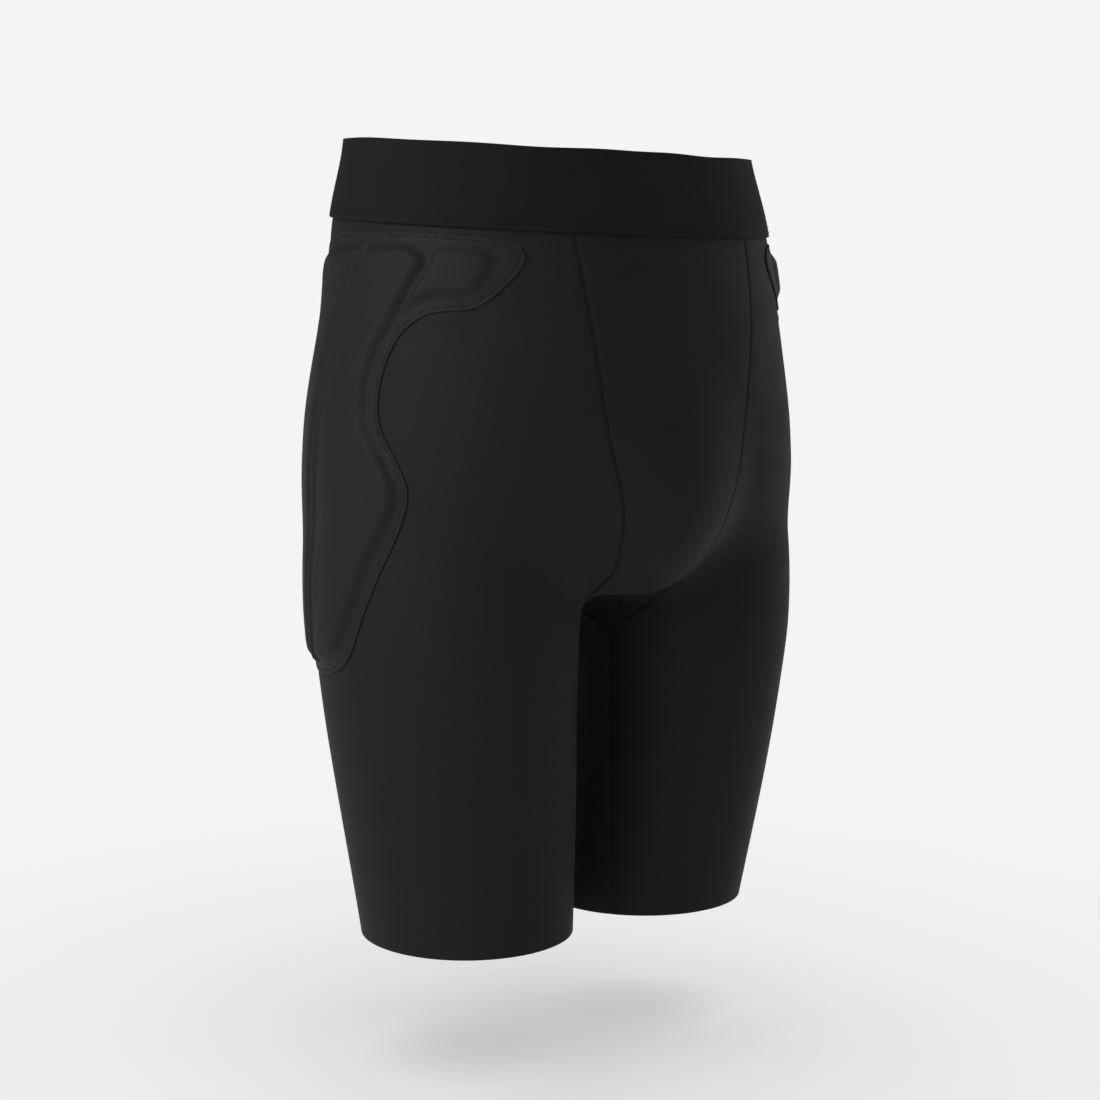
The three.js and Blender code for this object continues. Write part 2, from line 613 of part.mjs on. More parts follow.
// corners are [place across, percent of the way from the waistband to the crotch]
const SEAT_COVER = [[0, 10.5], [22, 10.9], [37, 13.7], [43, 21], [50, 32.3], [57, 44.4], [56, 55.6], [47, 64.5],
  [28, 69.4], [0, 71]];
const TAILBONE_PAD = [[0, 15.3], [16, 15.7], [25, 19], [27, 25], [18, 30.6], [0, 32.7]];
const SEAT_PAD = [[7, 37.9], [22, 35.5], [35, 37.5], [43, 44.4], [42, 53.2], [33, 60.5], [17, 63.7], [7, 62.1],
  [5, 50.4]];
const wholeOutline = (half) => [...half, ...half.slice(1, -1).reverse().map(([u, v]) => [-u, v])];
const tailboneMiddle = [0, 23.4];
const tailboneOutline = roundOutline(wholeOutline(TAILBONE_PAD), PAD_SEGMENTS, 1);
shorts.add(padded('tailbone_pad', backPoint, tailboneMiddle,
  foamRings(tailboneOutline, tailboneMiddle, SEAT_FOAM, 1), foam));
for (const [word, side] of [['left', 1], ['right', -1]]) {
  const middle = [side * 24, 49.6];
  const outline = roundOutline(SEAT_PAD.map(([u, v]) => [side * u, v]), PAD_SEGMENTS, 1);
  shorts.add(padded(`${word}_seat_pad`, backPoint, middle, foamRings(outline, middle, SEAT_FOAM, 1), foam));
}
const seatMiddle = [0, 40.3];
const seatOutline = roundOutline(wholeOutline(SEAT_COVER), COVER_SEGMENTS, 1);
shorts.add(padded('seat_pad_cover', backPoint, seatMiddle, coverRings(seatOutline, seatMiddle, SEAT_FOAM, 1), coverKnit));
const seatPath = inset(seatOutline, STITCH_INSET, 1).map(([u, v]) => backPoint(u, v));
shorts.add(stitching('seat_pad_stitching', seatPath, stitchLift, thread, true));

export default shorts;
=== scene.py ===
"""Padded impact shorts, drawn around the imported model.

The fabric follows one smooth surface, the body inside the shorts. Every piece is a layer at
some height over that surface. Inside this file the surface is worked out in millimetres, with
+Z up and the wearer facing -Y, and each mesh is put down in metres.
"""
import math

import bpy
import numpy as np
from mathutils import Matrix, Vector
from mathutils.geometry import delaunay_2d_cdt


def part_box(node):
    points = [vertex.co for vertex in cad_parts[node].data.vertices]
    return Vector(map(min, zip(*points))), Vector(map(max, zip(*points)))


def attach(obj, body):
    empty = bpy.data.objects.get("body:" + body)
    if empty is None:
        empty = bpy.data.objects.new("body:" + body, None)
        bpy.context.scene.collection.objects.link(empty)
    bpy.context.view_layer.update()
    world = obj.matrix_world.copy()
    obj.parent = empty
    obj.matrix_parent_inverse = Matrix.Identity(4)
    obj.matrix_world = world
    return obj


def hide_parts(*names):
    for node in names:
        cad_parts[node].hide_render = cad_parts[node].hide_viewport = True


bl_info = {
    "name": "Padded impact shorts",
    "version": (1, 0, 0),
    "blender": (4, 5, 0),
    "location": "View3D > Sidebar > Shorts",
    "description": "Builds fitted shorts with foam at the hips, the seat and the tailbone",
    "category": "Add Mesh",
}

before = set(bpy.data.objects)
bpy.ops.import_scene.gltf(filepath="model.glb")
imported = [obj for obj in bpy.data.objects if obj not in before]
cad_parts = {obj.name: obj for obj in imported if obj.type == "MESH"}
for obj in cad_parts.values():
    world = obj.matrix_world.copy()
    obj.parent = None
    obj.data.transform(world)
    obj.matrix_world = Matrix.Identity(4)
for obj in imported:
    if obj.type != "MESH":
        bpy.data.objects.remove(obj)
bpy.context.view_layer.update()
MM = 0.001
SIDES = (("left", 1.0), ("right", -1.0))


# ---------------------------------------------------------------- sizes taken from the model

def node_box(name):
    """Lowest and highest corner of a node, in millimetres."""
    low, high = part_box(name)
    return np.array(low) / MM, np.array(high) / MM


WAIST_TILT = 0.085                       # how much the waist dips from back to front
band_low, band_high = node_box("waistband_elastic")
BAND_TOP = band_high[2] - WAIST_TILT * band_high[1]
BAND_HEIGHT = round(BAND_TOP - (band_low[2] - WAIST_TILT * band_low[1]))
HEM_Z = round(node_box("left_leg_panel")[0][2])
CROTCH_Z = round(node_box("crotch_gusset")[0][2] + 1.0)
RISE = -BAND_HEIGHT - CROTCH_Z
BAND_LAP = 9.0                           # how far the panels run up under the waistband
PANEL_TOP = -BAND_HEIGHT + BAND_LAP


# ---------------------------------------------------------------- settings a user would change

def length(label, words, value):
    """A length in millimetres."""
    return bpy.props.FloatProperty(name=label, description=words, default=value)


def colour(label, words, value):
    """A linear colour."""
    return bpy.props.FloatVectorProperty(
        name=label, description=words, default=value, size=3, subtype="COLOR", min=0.0, max=1.0)


class FabricSizes(bpy.types.PropertyGroup):
    """Thicknesses and threads, in millimetres."""
    shell: length("Shell", "Thickness of the knitted shell", 1.0)
    webbing: length("Webbing", "Thickness of the waistband", 1.9)
    cover: length("Cover", "Thickness of the fabric over the pads", 0.8)
    tape: length("Tape", "Thickness of the bonded tapes", 0.6)
    hem_tape: length("Hem tape", "Height of the tape inside each hem", 16.0)
    join_tape: length("Join tape", "Height of the tape inside the waistband's join", 15.0)
    thread: length("Thread", "Thickness of the sewing thread", 0.42)
    pitch: length("Stitch", "Distance from one stitch to the next", 2.6)


class PadSizes(bpy.types.PropertyGroup):
    """Sizes of the foam and its covers, in millimetres."""
    hip_foam: length("Hip foam", "Thickness of the hip pads", 4.6)
    seat_foam: length("Seat foam", "Thickness of the seat and tailbone pads", 4.6)
    front_share: bpy.props.FloatProperty(
        name="Front pad share", description="Thickness of the front pad, against the others",
        default=0.62, subtype="FACTOR")
    shoulder: length("Shoulder", "Width of the rounded edge of a pad", 7.0)
    ridge: length("Ridge", "How far the ridge stands up at the side of the hip", 1.5)
    pressure: bpy.props.FloatProperty(
        name="Puff", description="Pressure under the covers", default=4.0)
    cap: length("Puff limit", "How far the pressure may move a cover", 1.1)
    frames: bpy.props.IntProperty(name="Frames", description="Steps of the puffing", default=20)


class Finishes(bpy.types.PropertyGroup):
    """Colours of the fabrics and foam."""
    knit: colour("Knit", "Colour of the shell", (0.0104, 0.0104, 0.0115))
    cover: colour("Cover", "Colour of the fabric over the pads", (0.0112, 0.0106, 0.0126))
    webbing: colour("Webbing", "Colour of the waistband", (0.0040, 0.0040, 0.0035))
    thread: colour("Thread", "Colour of the sewing thread", (0.0048, 0.0048, 0.0052))
    tape: colour("Tape", "Colour of the bonded tapes", (0.0070, 0.0070, 0.0075))
    foam: colour("Foam", "Colour of the foam", (0.0420, 0.0420, 0.0460))


# ---------------------------------------------------------------- the body under the fabric

WAIST = (133.0, 98.0)                    # half width, half depth
BAND_FOOT = (143.0, 107.0)
HIP = (151.0, 110.0)
THIGH = (90.5, 77.0, 83.0)               # offset, half width, half depth
KNEE_SIDE = (84.0, 71.0, 75.0)
HEM = (72.5, 64.0, 66.0)

# height, half width, half depth, middle in y
TRUNK = np.array([
    (20, WAIST[0] - 2, WAIST[1] - 2, -1),
    (-5, WAIST[0], WAIST[1], -1),
    (-BAND_HEIGHT - 2, BAND_FOOT[0], BAND_FOOT[1], -3),
    (CROTCH_Z + 188, HIP[0] - 3, HIP[1], -10),
    (CROTCH_Z + 138, HIP[0], HIP[1], -11.5),
    (CROTCH_Z + 88, HIP[0], HIP[1] - 2, -10),
    (CROTCH_Z - 32, HIP[0] - 3, HIP[1] - 6, -4)], float)
UNDER = CROTCH_Z - 2
# height, axis x, axis y, half width, half depth
LEG = np.array([
    (CROTCH_Z + 198, THIGH[0] - 10, -4, THIGH[1] - 11, THIGH[2] - 11),
    (CROTCH_Z + 98, THIGH[0] - 4, -8, THIGH[1] - 3, THIGH[2] - 1),
    (CROTCH_Z + 43, THIGH[0], -10, THIGH[1], THIGH[2]),
    (UNDER, THIGH[0], -11, THIGH[1], THIGH[2] - 1),
    (UNDER * 0.79 + HEM_Z * 0.21, THIGH[0] - 1.5, -11, THIGH[1] - 3, THIGH[2] - 4),
    (UNDER * 0.52 + HEM_Z * 0.48, KNEE_SIDE[0], -10, KNEE_SIDE[1], KNEE_SIDE[2]),
    (HEM_Z, HEM[0], -6, HEM[1], HEM[2])], float)
TRUNK_FLOOR = (CROTCH_Z + 108, 82.0)     # where it starts to round in, and how deep
LEG_TOP = (CROTCH_Z + 118, 110.0)
POUCH = ((0.0, -84.0, CROTCH_Z + 93.0), (52.0, 46.0, 66.0))
BUTTOCK = ((56.0, 42.0, CROTCH_Z + 120.0), (65.0, 58.0, 84.0))
POWER = 2.25                             # squareness of the trunk
LEG_AXIS = (75.0, -8.0)
INSEAM = -151.0                          # angle round the leg, -90 ahead and 90 back
SIDE_UNIT = 1.5                          # length of one degree round the leg

# height, angle of the front seam, angle of the back seam
SEAMS = np.array([
    (PANEL_TOP, -94.3, 94),
    (CROTCH_Z + 198, -95.5, 92.5),
    (CROTCH_Z + 158, -98, 92),
    (CROTCH_Z + 113, -102, 93),
    (CROTCH_Z + 83, -106, 97),
    (CROTCH_Z + 58, -110, 105),
    (CROTCH_Z + 42, -114.5, 116),
    (CROTCH_Z + 28, -121, 133),
    (CROTCH_Z + 16, -130, 158),
    (CROTCH_Z + 7, -140, 186),
    (CROTCH_Z, INSEAM, INSEAM + 360)], float)


def profile(stations, z):
    """A smooth curve through stations listed from the top down: a cubic between each two, with
    the slope at a station halfway between the slopes on its two sides."""
    z = np.asarray(z, float)
    last = len(stations) - 1
    i = np.clip(np.searchsorted(-stations[:, 0], -z, side="right") - 1, 0, last - 1)
    slope = (stations[1:, 1:] - stations[:-1, 1:]) / (stations[1:, 0:1] - stations[:-1, 0:1])
    tangent = np.vstack([slope[:1], 0.5 * (slope[:-1] + slope[1:]), slope[-1:]])
    h = stations[i + 1, 0] - stations[i, 0]
    t = np.clip((z - stations[i, 0]) / h, 0, 1)[..., None]
    h = h[..., None]
    return (stations[i, 1:] * (1 + 2 * t) * (1 - t) ** 2 + tangent[i] * h * t * (1 - t) ** 2
            + stations[i + 1, 1:] * t * t * (3 - 2 * t) - tangent[i + 1] * h * t * t * (1 - t))


def merge(a, b, width):
    """The lower of two distances, rounded where they are within width of each other."""
    h = np.maximum(width - np.abs(a - b), 0) / width
    return np.minimum(a, b) - h * h * width / 4


def ellipsoid(x, y, z, centre, radii):
    """Rough distance to an ellipsoid: its scaled radius less one, times its least radius."""
    r = np.sqrt(((x - centre[0]) / radii[0]) ** 2 + ((y - centre[1]) / radii[1]) ** 2
                + ((z - centre[2]) / radii[2]) ** 2)
    return (r - 1) * min(radii)


def trunk(x, y, z):
    """A rounded box in plan, its widths from TRUNK, that rounds in below the floor's start."""
    a, b, middle = np.moveaxis(profile(TRUNK, z), -1, 0)
    below = np.maximum(TRUNK_FLOOR[0] - z, 0) / TRUNK_FLOOR[1]
    total = (np.abs(x) / a) ** POWER + (np.abs(y - middle) / b) ** POWER + below ** POWER
    return (total ** (1 / POWER) - 1) * 0.5 * (a + b)


def leg(x, y, z):
    """An ellipse in plan, its axis and widths from LEG, that closes over the top of the leg."""
    axis_x, axis_y, a, b = np.moveaxis(profile(LEG, z), -1, 0)
    above = np.maximum(z - LEG_TOP[0], 0) / LEG_TOP[1]
    return (np.sqrt(((x - axis_x) / a) ** 2 + ((y - axis_y) / b) ** 2 + above ** 2) - 1) * 0.5 * (a + b)


def body(p):
    """Below zero inside the body and above zero outside, for an array of points."""
    x, y, z = p[..., 0], p[..., 1], p[..., 2]
    f = merge(leg(x, y, z), leg(-x, y, z), 10)
    f = merge(trunk(x, y, z), f, 30)
    f = merge(f, ellipsoid(x, y, z, *POUCH), 26)
    return merge(f, ellipsoid(np.abs(x), y, z, *BUTTOCK), 30)


def slope_at(p):
    """How fast the body's distance changes along x, y and z, by small steps each way."""
    step = 0.05
    parts = []
    for k in range(3):
        move = np.zeros(3)
        move[k] = step
        parts.append((body(p + move) - body(p - move)) / (2 * step))
    return np.stack(parts, -1)


def unit(v):
    """Vectors made one long."""
    return v / np.maximum(np.linalg.norm(v, axis=-1, keepdims=True), 1e-12)


def normal_at(p):
    """Outward direction of the body at each point."""
    return unit(slope_at(p))


def settle(p, times=5):
    """Moves points back to the body along its slope, by the distance over the slope's length."""
    for _ in range(times):
        g = slope_at(p)
        p = p - (body(p) / np.sum(g * g, -1))[..., None] * g
    return p


def leave(start, direction, step=5.0):
    """Where each line from inside first leaves the body: steps out, then halves the last one."""
    start, direction = np.broadcast_arrays(np.asarray(start, float), np.asarray(direction, float))
    far = np.full(start.shape[:-1], step)
    inside = np.ones(far.shape, bool)
    while inside.any():
        inside &= body(start + direction * far[..., None]) < 0
        far = np.where(inside, far + step, far)
    near = far - step
    for _ in range(20):
        middle = 0.5 * (near + far)
        within = body(start + direction * middle[..., None]) < 0
        near = np.where(within, middle, near)
        far = np.where(within, far, middle)
    return start + direction * near[..., None]


def side_point(angle, z):
    """The left half's surface, by the angle round the leg's axis and the height."""
    angle, z = np.broadcast_arrays(np.asarray(angle, float), np.asarray(z, float))
    turn = np.radians(angle)
    start = np.stack([np.full(z.shape, LEG_AXIS[0]), np.full(z.shape, LEG_AXIS[1]), z], -1)
    return leave(start, np.stack([np.cos(turn), np.sin(turn), np.zeros(z.shape)], -1))


def back_point(x, z):
    """The back's surface, by the place across and the height."""
    x, z = np.broadcast_arrays(np.asarray(x, float), np.asarray(z, float))
    return leave(np.stack([x, np.zeros(x.shape), z], -1), (0.0, 1.0, 0.0))


def dip(p):
    """Lowers the top rows with the tilted waist, less and less down to the hips."""
    share = np.clip((p[..., 2] - (CROTCH_Z + 188)) / (PANEL_TOP - CROTCH_Z - 188), 0, 1)
    moved = p.copy()
    moved[..., 2] += share * WAIST_TILT * p[..., 1]
    return settle(moved)


def smooth(t):
    """Zero below nought, one above one, and an S between."""
    t = np.clip(t, 0, 1)
    return t * t * (3 - 2 * t)


def bell(t):
    """One at nought, fading both ways."""
    return np.exp(-t * t)


# ---------------------------------------------------------------- meshes

def garment():
    """The collection that holds the shorts' own pieces, which is what the lamps light."""
    found = bpy.data.collections.get("shorts")
    if found is None:
        found = bpy.data.collections.new("shorts")
        bpy.context.scene.collection.children.link(found)
    return found


def put_mesh(name, points, faces, uv=None, sharp=50.0):
    """Makes a smooth-shaded mesh object from points in millimetres. faces is an array of quads,
    or a list of arrays, and uv has one pair, in metres, for each point."""
    groups = faces if isinstance(faces, list) else [faces]
    sizes = np.concatenate([np.full(len(g), g.shape[1]) for g in groups])
    loops = np.concatenate([g.ravel() for g in groups]).astype(np.int32)
    mesh = bpy.data.meshes.new(name)
    mesh.vertices.add(len(points))
    mesh.vertices.foreach_set("co", (np.asarray(points, float) * MM).ravel())
    mesh.loops.add(len(loops))
    mesh.loops.foreach_set("vertex_index", loops)
    mesh.polygons.add(len(sizes))
    starts = np.concatenate([[0], np.cumsum(sizes)[:-1]])
    mesh.polygons.foreach_set("loop_start", starts.astype(np.int32))
    mesh.polygons.foreach_set("use_smooth", np.ones(len(sizes), bool))
    if uv is not None:
        layer = mesh.uv_layers.new(name="cloth")
        layer.data.foreach_set("uv", np.asarray(uv, float)[loops].ravel())
    mesh.update(calc_edges=True)
    mesh.validate()
    if sharp:
        mesh.set_sharp_from_angle(angle=math.radians(sharp))
    piece = bpy.data.objects.new(name, mesh)
    garment().objects.link(piece)
    return piece


def grid_faces(rows, columns, wrap=False):
    """Quads of a grid whose points are numbered row by row."""
    i, j = np.meshgrid(np.arange(rows - 1), np.arange(columns if wrap else columns - 1), indexing="ij")
    a = i * columns + j
    b = i * columns + (j + 1) % columns
    return np.stack([a, a + columns, b + columns, b], -1).reshape(-1, 4)


def outward(points, faces):
    """The faces, turned over if the volume that they enclose comes out negative."""
    volume = 0.0
    for group in faces:
        for k in range(1, group.shape[1] - 1):
            a, b, c = points[group[:, 0]], points[group[:, k]], points[group[:, k + 1]]
            volume += np.sum(a * np.cross(b, c))
    return faces if volume > 0 else [group[:, ::-1] for group in faces]


def closed_layer(outer, inner, wrap=False):
    """Points and faces of a sheet between two grids, closed by a strip along each free edge."""
    rows, columns = outer.shape[:2]
    count = rows * columns
    points = np.concatenate([outer.reshape(-1, 3), inner.reshape(-1, 3)])
    top = grid_faces(rows, columns, wrap)
    faces = [top, top[:, ::-1] + count]
    number = np.arange(count).reshape(rows, columns)
    edges = [number[0], number[-1][::-1]]
    if wrap:
        edges = [np.append(number[0], number[0, 0]), np.append(number[-1], number[-1, 0])[::-1]]
    else:
        edges += [number[::-1, 0], number[:, -1]]
    for edge in edges:
        a, b = edge[:-1], edge[1:]
        faces.append(np.stack([a, b, b + count, a + count], -1))
    return points, outward(points, faces)


def row_lengths(grid):
    """Distance along each row of a grid, from its first point."""
    step = np.linalg.norm(np.diff(grid, axis=1), axis=-1)
    return np.concatenate([np.zeros((len(grid), 1)), np.cumsum(step, axis=1)], axis=1)


def grid_uv(grid):
    """Cloth coordinates of a grid, in metres: along each row from its middle, and down the
    middle column."""
    across = row_lengths(grid)
    across = across - across[:, [grid.shape[1] // 2]]
    down = row_lengths(grid[:, [grid.shape[1] // 2]].swapaxes(0, 1))[0]
    uv = np.stack([across, np.broadcast_to(-down[:, None], across.shape)], -1).reshape(-1, 2) * MM
    return np.concatenate([uv, uv])


WORN_STRETCH = 1.06                      # assumed: how much longer the fabric is worn than cut


def declare_sheet(grid):
    """Works out the longest column of a grid, in metres, less the stretch; nothing is done with the
    result."""
    long = row_lengths(grid.swapaxes(0, 1))[:, -1].max() * MM / WORN_STRETCH


def finish_piece(piece, material, node):
    """Gives a piece its material, hangs it under the root body and hides its node, whose place it takes.
    """
    piece.data.materials.append(material)
    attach(piece, "root")
    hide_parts(node)
    return piece


def on_side(points, side):
    """Points of the left half, kept there or mirrored to the right."""
    return points * np.array([side, 1.0, 1.0])


# ---------------------------------------------------------------- materials

def new_material(name, colour_value, roughness, shine, sheen):
    """A material with its shader's constants set, and the shortcuts to build its nodes."""
    material = bpy.data.materials.get(name)
    if material is not None:
        return material, None
    material = bpy.data.materials.new(name)
    material.use_nodes = True
    material.diffuse_color = (*colour_value, 1.0)
    shader = material.node_tree.nodes["Principled BSDF"]
    shader.inputs["Base Color"].default_value = (*colour_value, 1.0)
    shader.inputs["Roughness"].default_value = roughness
    shader.inputs["Specular IOR Level"].default_value = shine
    shader.inputs["Sheen Weight"].default_value = sheen
    shader.inputs["Sheen Roughness"].default_value = 0.42
    shader.inputs["Sheen Tint"].default_value = (0.75, 0.76, 0.80, 1.0)
    return material, Nodes(material.node_tree, shader)


class Nodes:
    """Short ways to add and join the nodes of one material."""

    def __init__(self, tree, shader):
        self.tree = tree
        self.shader = shader
        self.place = tree.nodes.new("ShaderNodeTexCoord")

    def join(self, source, target):
        self.tree.links.new(source, target)

    def add(self, kind, values=(), **settings):
        node = self.tree.nodes.new(kind)
        for key, value in settings.items():
            setattr(node, key, value)
        for socket, value in dict(values).items():
            if isinstance(value, bpy.types.NodeSocket):
                self.join(value, node.inputs[socket])
            else:
                node.inputs[socket].default_value = value
        return node

    def scaled(self, source, scale):
        """Coordinates stretched by a scale along each axis."""
        return self.add("ShaderNodeMapping", {"Vector": source, "Scale": scale}).outputs["Vector"]

    def noise(self, vector, scale, detail=2.0, roughness=0.5):
        return self.add("ShaderNodeTexNoise", {
            "Vector": vector, "Scale": scale, "Detail": detail, "Roughness": roughness}).outputs["Fac"]

    def waves(self, vector, scale, direction, distortion=0.0):
        return self.add(
            "ShaderNodeTexWave", {"Vector": vector, "Scale": scale, "Distortion": distortion,
                                  "Detail": 1.0, "Detail Scale": 1.5},
            wave_type="BANDS", bands_direction=direction).outputs["Fac"]

    def math(self, operation, a, b=0.5):
        return self.add("ShaderNodeMath", {0: a, 1: b}, operation=operation).outputs[0]

    def tones(self, factor, dark, light):
        """The base colour, from dark to light with the factor."""
        mix = self.add("ShaderNodeMix", data_type="RGBA")
        self.join(factor, mix.inputs["Factor"])
        mix.inputs[6].default_value = (*dark, 1.0)
        mix.inputs[7].default_value = (*light, 1.0)
        self.join(mix.outputs[2], self.shader.inputs["Base Color"])

    def gloss(self, factor, low, high):
        """The roughness, from low to high with the factor."""
        spread = self.add("ShaderNodeMapRange", {"Value": factor, "To Min": low, "To Max": high})
        self.join(spread.outputs["Result"], self.shader.inputs["Roughness"])

    def bump(self, height, distance, strength=1.0, under=None):
        values = {"Height": height, "Distance": distance, "Strength": strength}
        if under is not None:
            values["Normal"] = under
        node = self.add("ShaderNodeBump", values)
        self.join(node.outputs["Normal"], self.shader.inputs["Normal"])
        return node.outputs["Normal"]


def tint(value, share):
    """A colour made lighter or darker."""
    return tuple(min(c * share, 1.0) for c in value)


def wave_scale(period):
    """Scale of a wave texture whose bands repeat every period, in metres."""
    return 2 * math.pi / (20 * period)


def knit_material(finishes):
    """Warp-knitted stretch fabric: fine courses across, finer wales down, and a soft nap."""
    base = finishes.knit
    material, n = new_material("ribbed_shell_fabric", base, 0.60, 0.11, 0.022)
    if n is None:
        return material
    cloth = n.place.outputs["UV"]
    room = n.place.outputs["Object"]
    courses = n.waves(cloth, wave_scale(0.00115), "Y", 0.25)
    wales = n.waves(cloth, wave_scale(0.00078), "X", 0.35)
    loops = n.math("MULTIPLY", courses, wales)
    drift = n.noise(n.scaled(room, (1, 1, 2.2)), 26.0, 3.0)
    streak = n.noise(n.scaled(cloth, (30.0, 900.0, 1.0)), 1.0, 2.0)
    n.tones(n.math("ADD", n.math("MULTIPLY", drift, 0.6), n.math("MULTIPLY", streak, 0.4)),
            tint(base, 0.80), tint(base, 1.24))
    n.gloss(drift, 0.62, 0.80)
    soft = n.bump(streak, 0.00003, 0.4)
    n.bump(loops, 0.00005, 0.45, soft)
    return material


def cover_material(finishes):
    """The smoother, tighter fabric over the pads."""
    base = finishes.cover
    material, n = new_material("pad_cover_knit", base, 0.58, 0.125, 0.034)
    if n is None:
        return material
    room = n.place.outputs["Object"]
    courses = n.waves(room, wave_scale(0.0010), "Z", 0.4)
    grain = n.noise(room, 1500.0, 1.0)
    drift = n.noise(room, 30.0, 3.0)
    n.tones(drift, tint(base, 0.84), tint(base, 1.20))
    n.gloss(drift, 0.56, 0.74)
    soft = n.bump(grain, 0.00005, 0.4)
    n.bump(courses, 0.00005, 0.35, soft)
    return material


def webbing_material(finishes):
    """Woven elastic: upright warp ribs crossed by picks, with a dusty speckle."""
    base = finishes.webbing
    material, n = new_material("waist_webbing", base, 0.90, 0.18, 0.01)
    if n is None:
        return material
    cloth = n.place.outputs["UV"]
    warp = n.waves(cloth, wave_scale(0.0013), "X", 0.3)
    picks = n.waves(cloth, wave_scale(0.0009), "Y", 0.3)
    weave = n.math("MULTIPLY", warp, picks)
    speckle = n.noise(n.scaled(cloth, (420.0, 900.0, 1.0)), 1.0, 2.0, 0.6)
    patches = n.noise(cloth, 55.0, 3.0)
    n.tones(n.math("ADD", n.math("MULTIPLY", speckle, 0.65), n.math("MULTIPLY", patches, 0.35)),
            tint(base, 0.55), tint(base, 1.75))
    n.gloss(speckle, 0.78, 0.95)
    rough = n.bump(speckle, 0.00008, 0.5)
    n.bump(weave, 0.00014, 0.6, rough)
    return material


def thread_material(finishes):
    """Twisted polyester sewing thread."""
    base = finishes.thread
    material, n = new_material("sewing_thread", base, 0.55, 0.12, 0.01)
    if n is None:
        return material
    room = n.place.outputs["Object"]
    fibres = n.noise(room, 2600.0, 1.0)
    n.tones(fibres, tint(base, 0.75), tint(base, 1.5))
    n.bump(fibres, 0.00005, 0.5)
    return material


def tape_material(finishes):
    """Thin bonded film over a fine tricot."""
    base = finishes.tape
    material, n = new_material("bonded_tape", base, 0.42, 0.35, 0.0)
    if n is None:
        return material
    cloth = n.place.outputs["UV"]
    mesh = n.math("MULTIPLY", n.waves(cloth, wave_scale(0.0016), "DIAGONAL"),
                  n.waves(cloth, wave_scale(0.0016), "X"))
    drift = n.noise(cloth, 70.0, 2.0)
    n.tones(drift, tint(base, 0.8), tint(base, 1.3))
    n.gloss(drift, 0.36, 0.56)
    n.bump(mesh, 0.00008, 0.5)
    return material


def foam_material(finishes):
    """Closed-cell foam: small cells and a moulded skin."""
    base = finishes.foam
    material, n = new_material("closed_cell_foam", base, 0.9, 0.25, 0.0)
    if n is None:
        return material
    room = n.place.outputs["Object"]
    cells = n.add("ShaderNodeTexVoronoi", {"Vector": room, "Scale": 900.0}).outputs["Distance"]
    drift = n.noise(room, 60.0, 3.0)
    n.tones(drift, tint(base, 0.8), tint(base, 1.25))
    n.gloss(drift, 0.82, 0.96)
    n.bump(cells, 0.00012, 0.6)
    return material


# ---------------------------------------------------------------- outlines of the pads

def drop(percent):
    """Height at a share of the rise, counted from the waistband's bottom edge."""
    return -BAND_HEIGHT - percent * RISE / 100


# corners are (angle round the leg axis, percent of the way from the waistband to the crotch)
HIP_COVER = [
    (4, 2.4), (-24, 2.8), (-53, 4), (-69, 5), (-76, 7.7), (-74, 11.7), (-65, 17.3), (-56, 20.6),
    (-44, 21.2), (-35, 22.6), (-25, 27.4), (-19, 36.3), (-19.5, 46.4), (-28, 55.2), (-32.5, 62.5),
    (-29, 71), (-22, 80.6), (-14, 92.3), (-7, 101.6), (4, 106), (24, 106.9), (41, 102), (51, 88.7),
    (53, 69.4), (52, 40.3), (50, 18.1), (43, 5.6), (26, 2.4)]
HIP_FRONT = [
    (-41, 6.6), (-52, 6.0), (-61, 6.8), (-65, 9.4), (-62.5, 13.2), (-57.4, 17.4), (-50, 18.4),
    (-40, 18.4), (-33, 20.0), (-28, 22.4), (-26.5, 20.4), (-32, 14.4), (-38, 9.6)]
HIP_SIDE = [
    (-5, 6.0), (-17, 5.2), (-28, 5.6), (-35.5, 7.8), (-37, 10.6), (-32.7, 14.4), (-27.4, 19.4),
    (-21, 25.6), (-16.4, 30.4), (-13.6, 36.6), (-14.4, 45.6), (-22, 53.4), (-28, 59.5),
    (-28.8, 64.6), (-26, 69.4), (-19.3, 77.4), (-13.5, 87), (-5.5, 97.4), (3, 102.2), (14, 103.2),
    (14.6, 88.7), (14.6, 68.5), (14.6, 44.4), (12, 28), (4, 14.5), (-1, 7.6)]
HIP_REAR = [
    (3, 6.2), (17, 5.6), (32, 5.8), (41, 10), (45, 20), (46.6, 40.3), (47.6, 66.5), (45, 86.5),
    (37, 99), (26, 103), (17, 103.4), (16, 88.7), (16, 68.5), (16, 44.4), (13.6, 28), (6.2, 14.5)]
RIDGE = [(-3.7, 5.2), (-0.2, 7.1), (4.6, 11.3), (9, 16.1), (12, 25), (15.3, 34.3), (15.5, 104)]
# corners are (place across, percent of the way from the waistband to the crotch)
SEAT_COVER = [(0, 10.5), (22, 10.9), (37, 13.7), (43, 21), (50, 32.3), (57, 44.4), (56, 55.6),
              (47, 64.5), (28, 69.4), (0, 71)]
TAILBONE = [(0, 14), (17, 14.6), (28, 18), (31, 25), (22, 31.4), (0, 33.4)]
SEAT = [(6, 37.4), (22, 34.6), (37, 36.5), (47, 43.8), (47, 54), (37, 62.6), (18, 66), (6, 64.4),
        (4.4, 50.4)]


def flat_corners(corners, unit_length):
    """Corners as places in millimetres, across and up."""
    return np.array([(u * unit_length, drop(percent)) for u, percent in corners], float)


def both_halves(half):
    """The corners of an outline that is the same on both sides of the middle."""
    return half + [(-u, v) for u, v in half[-2:0:-1]]


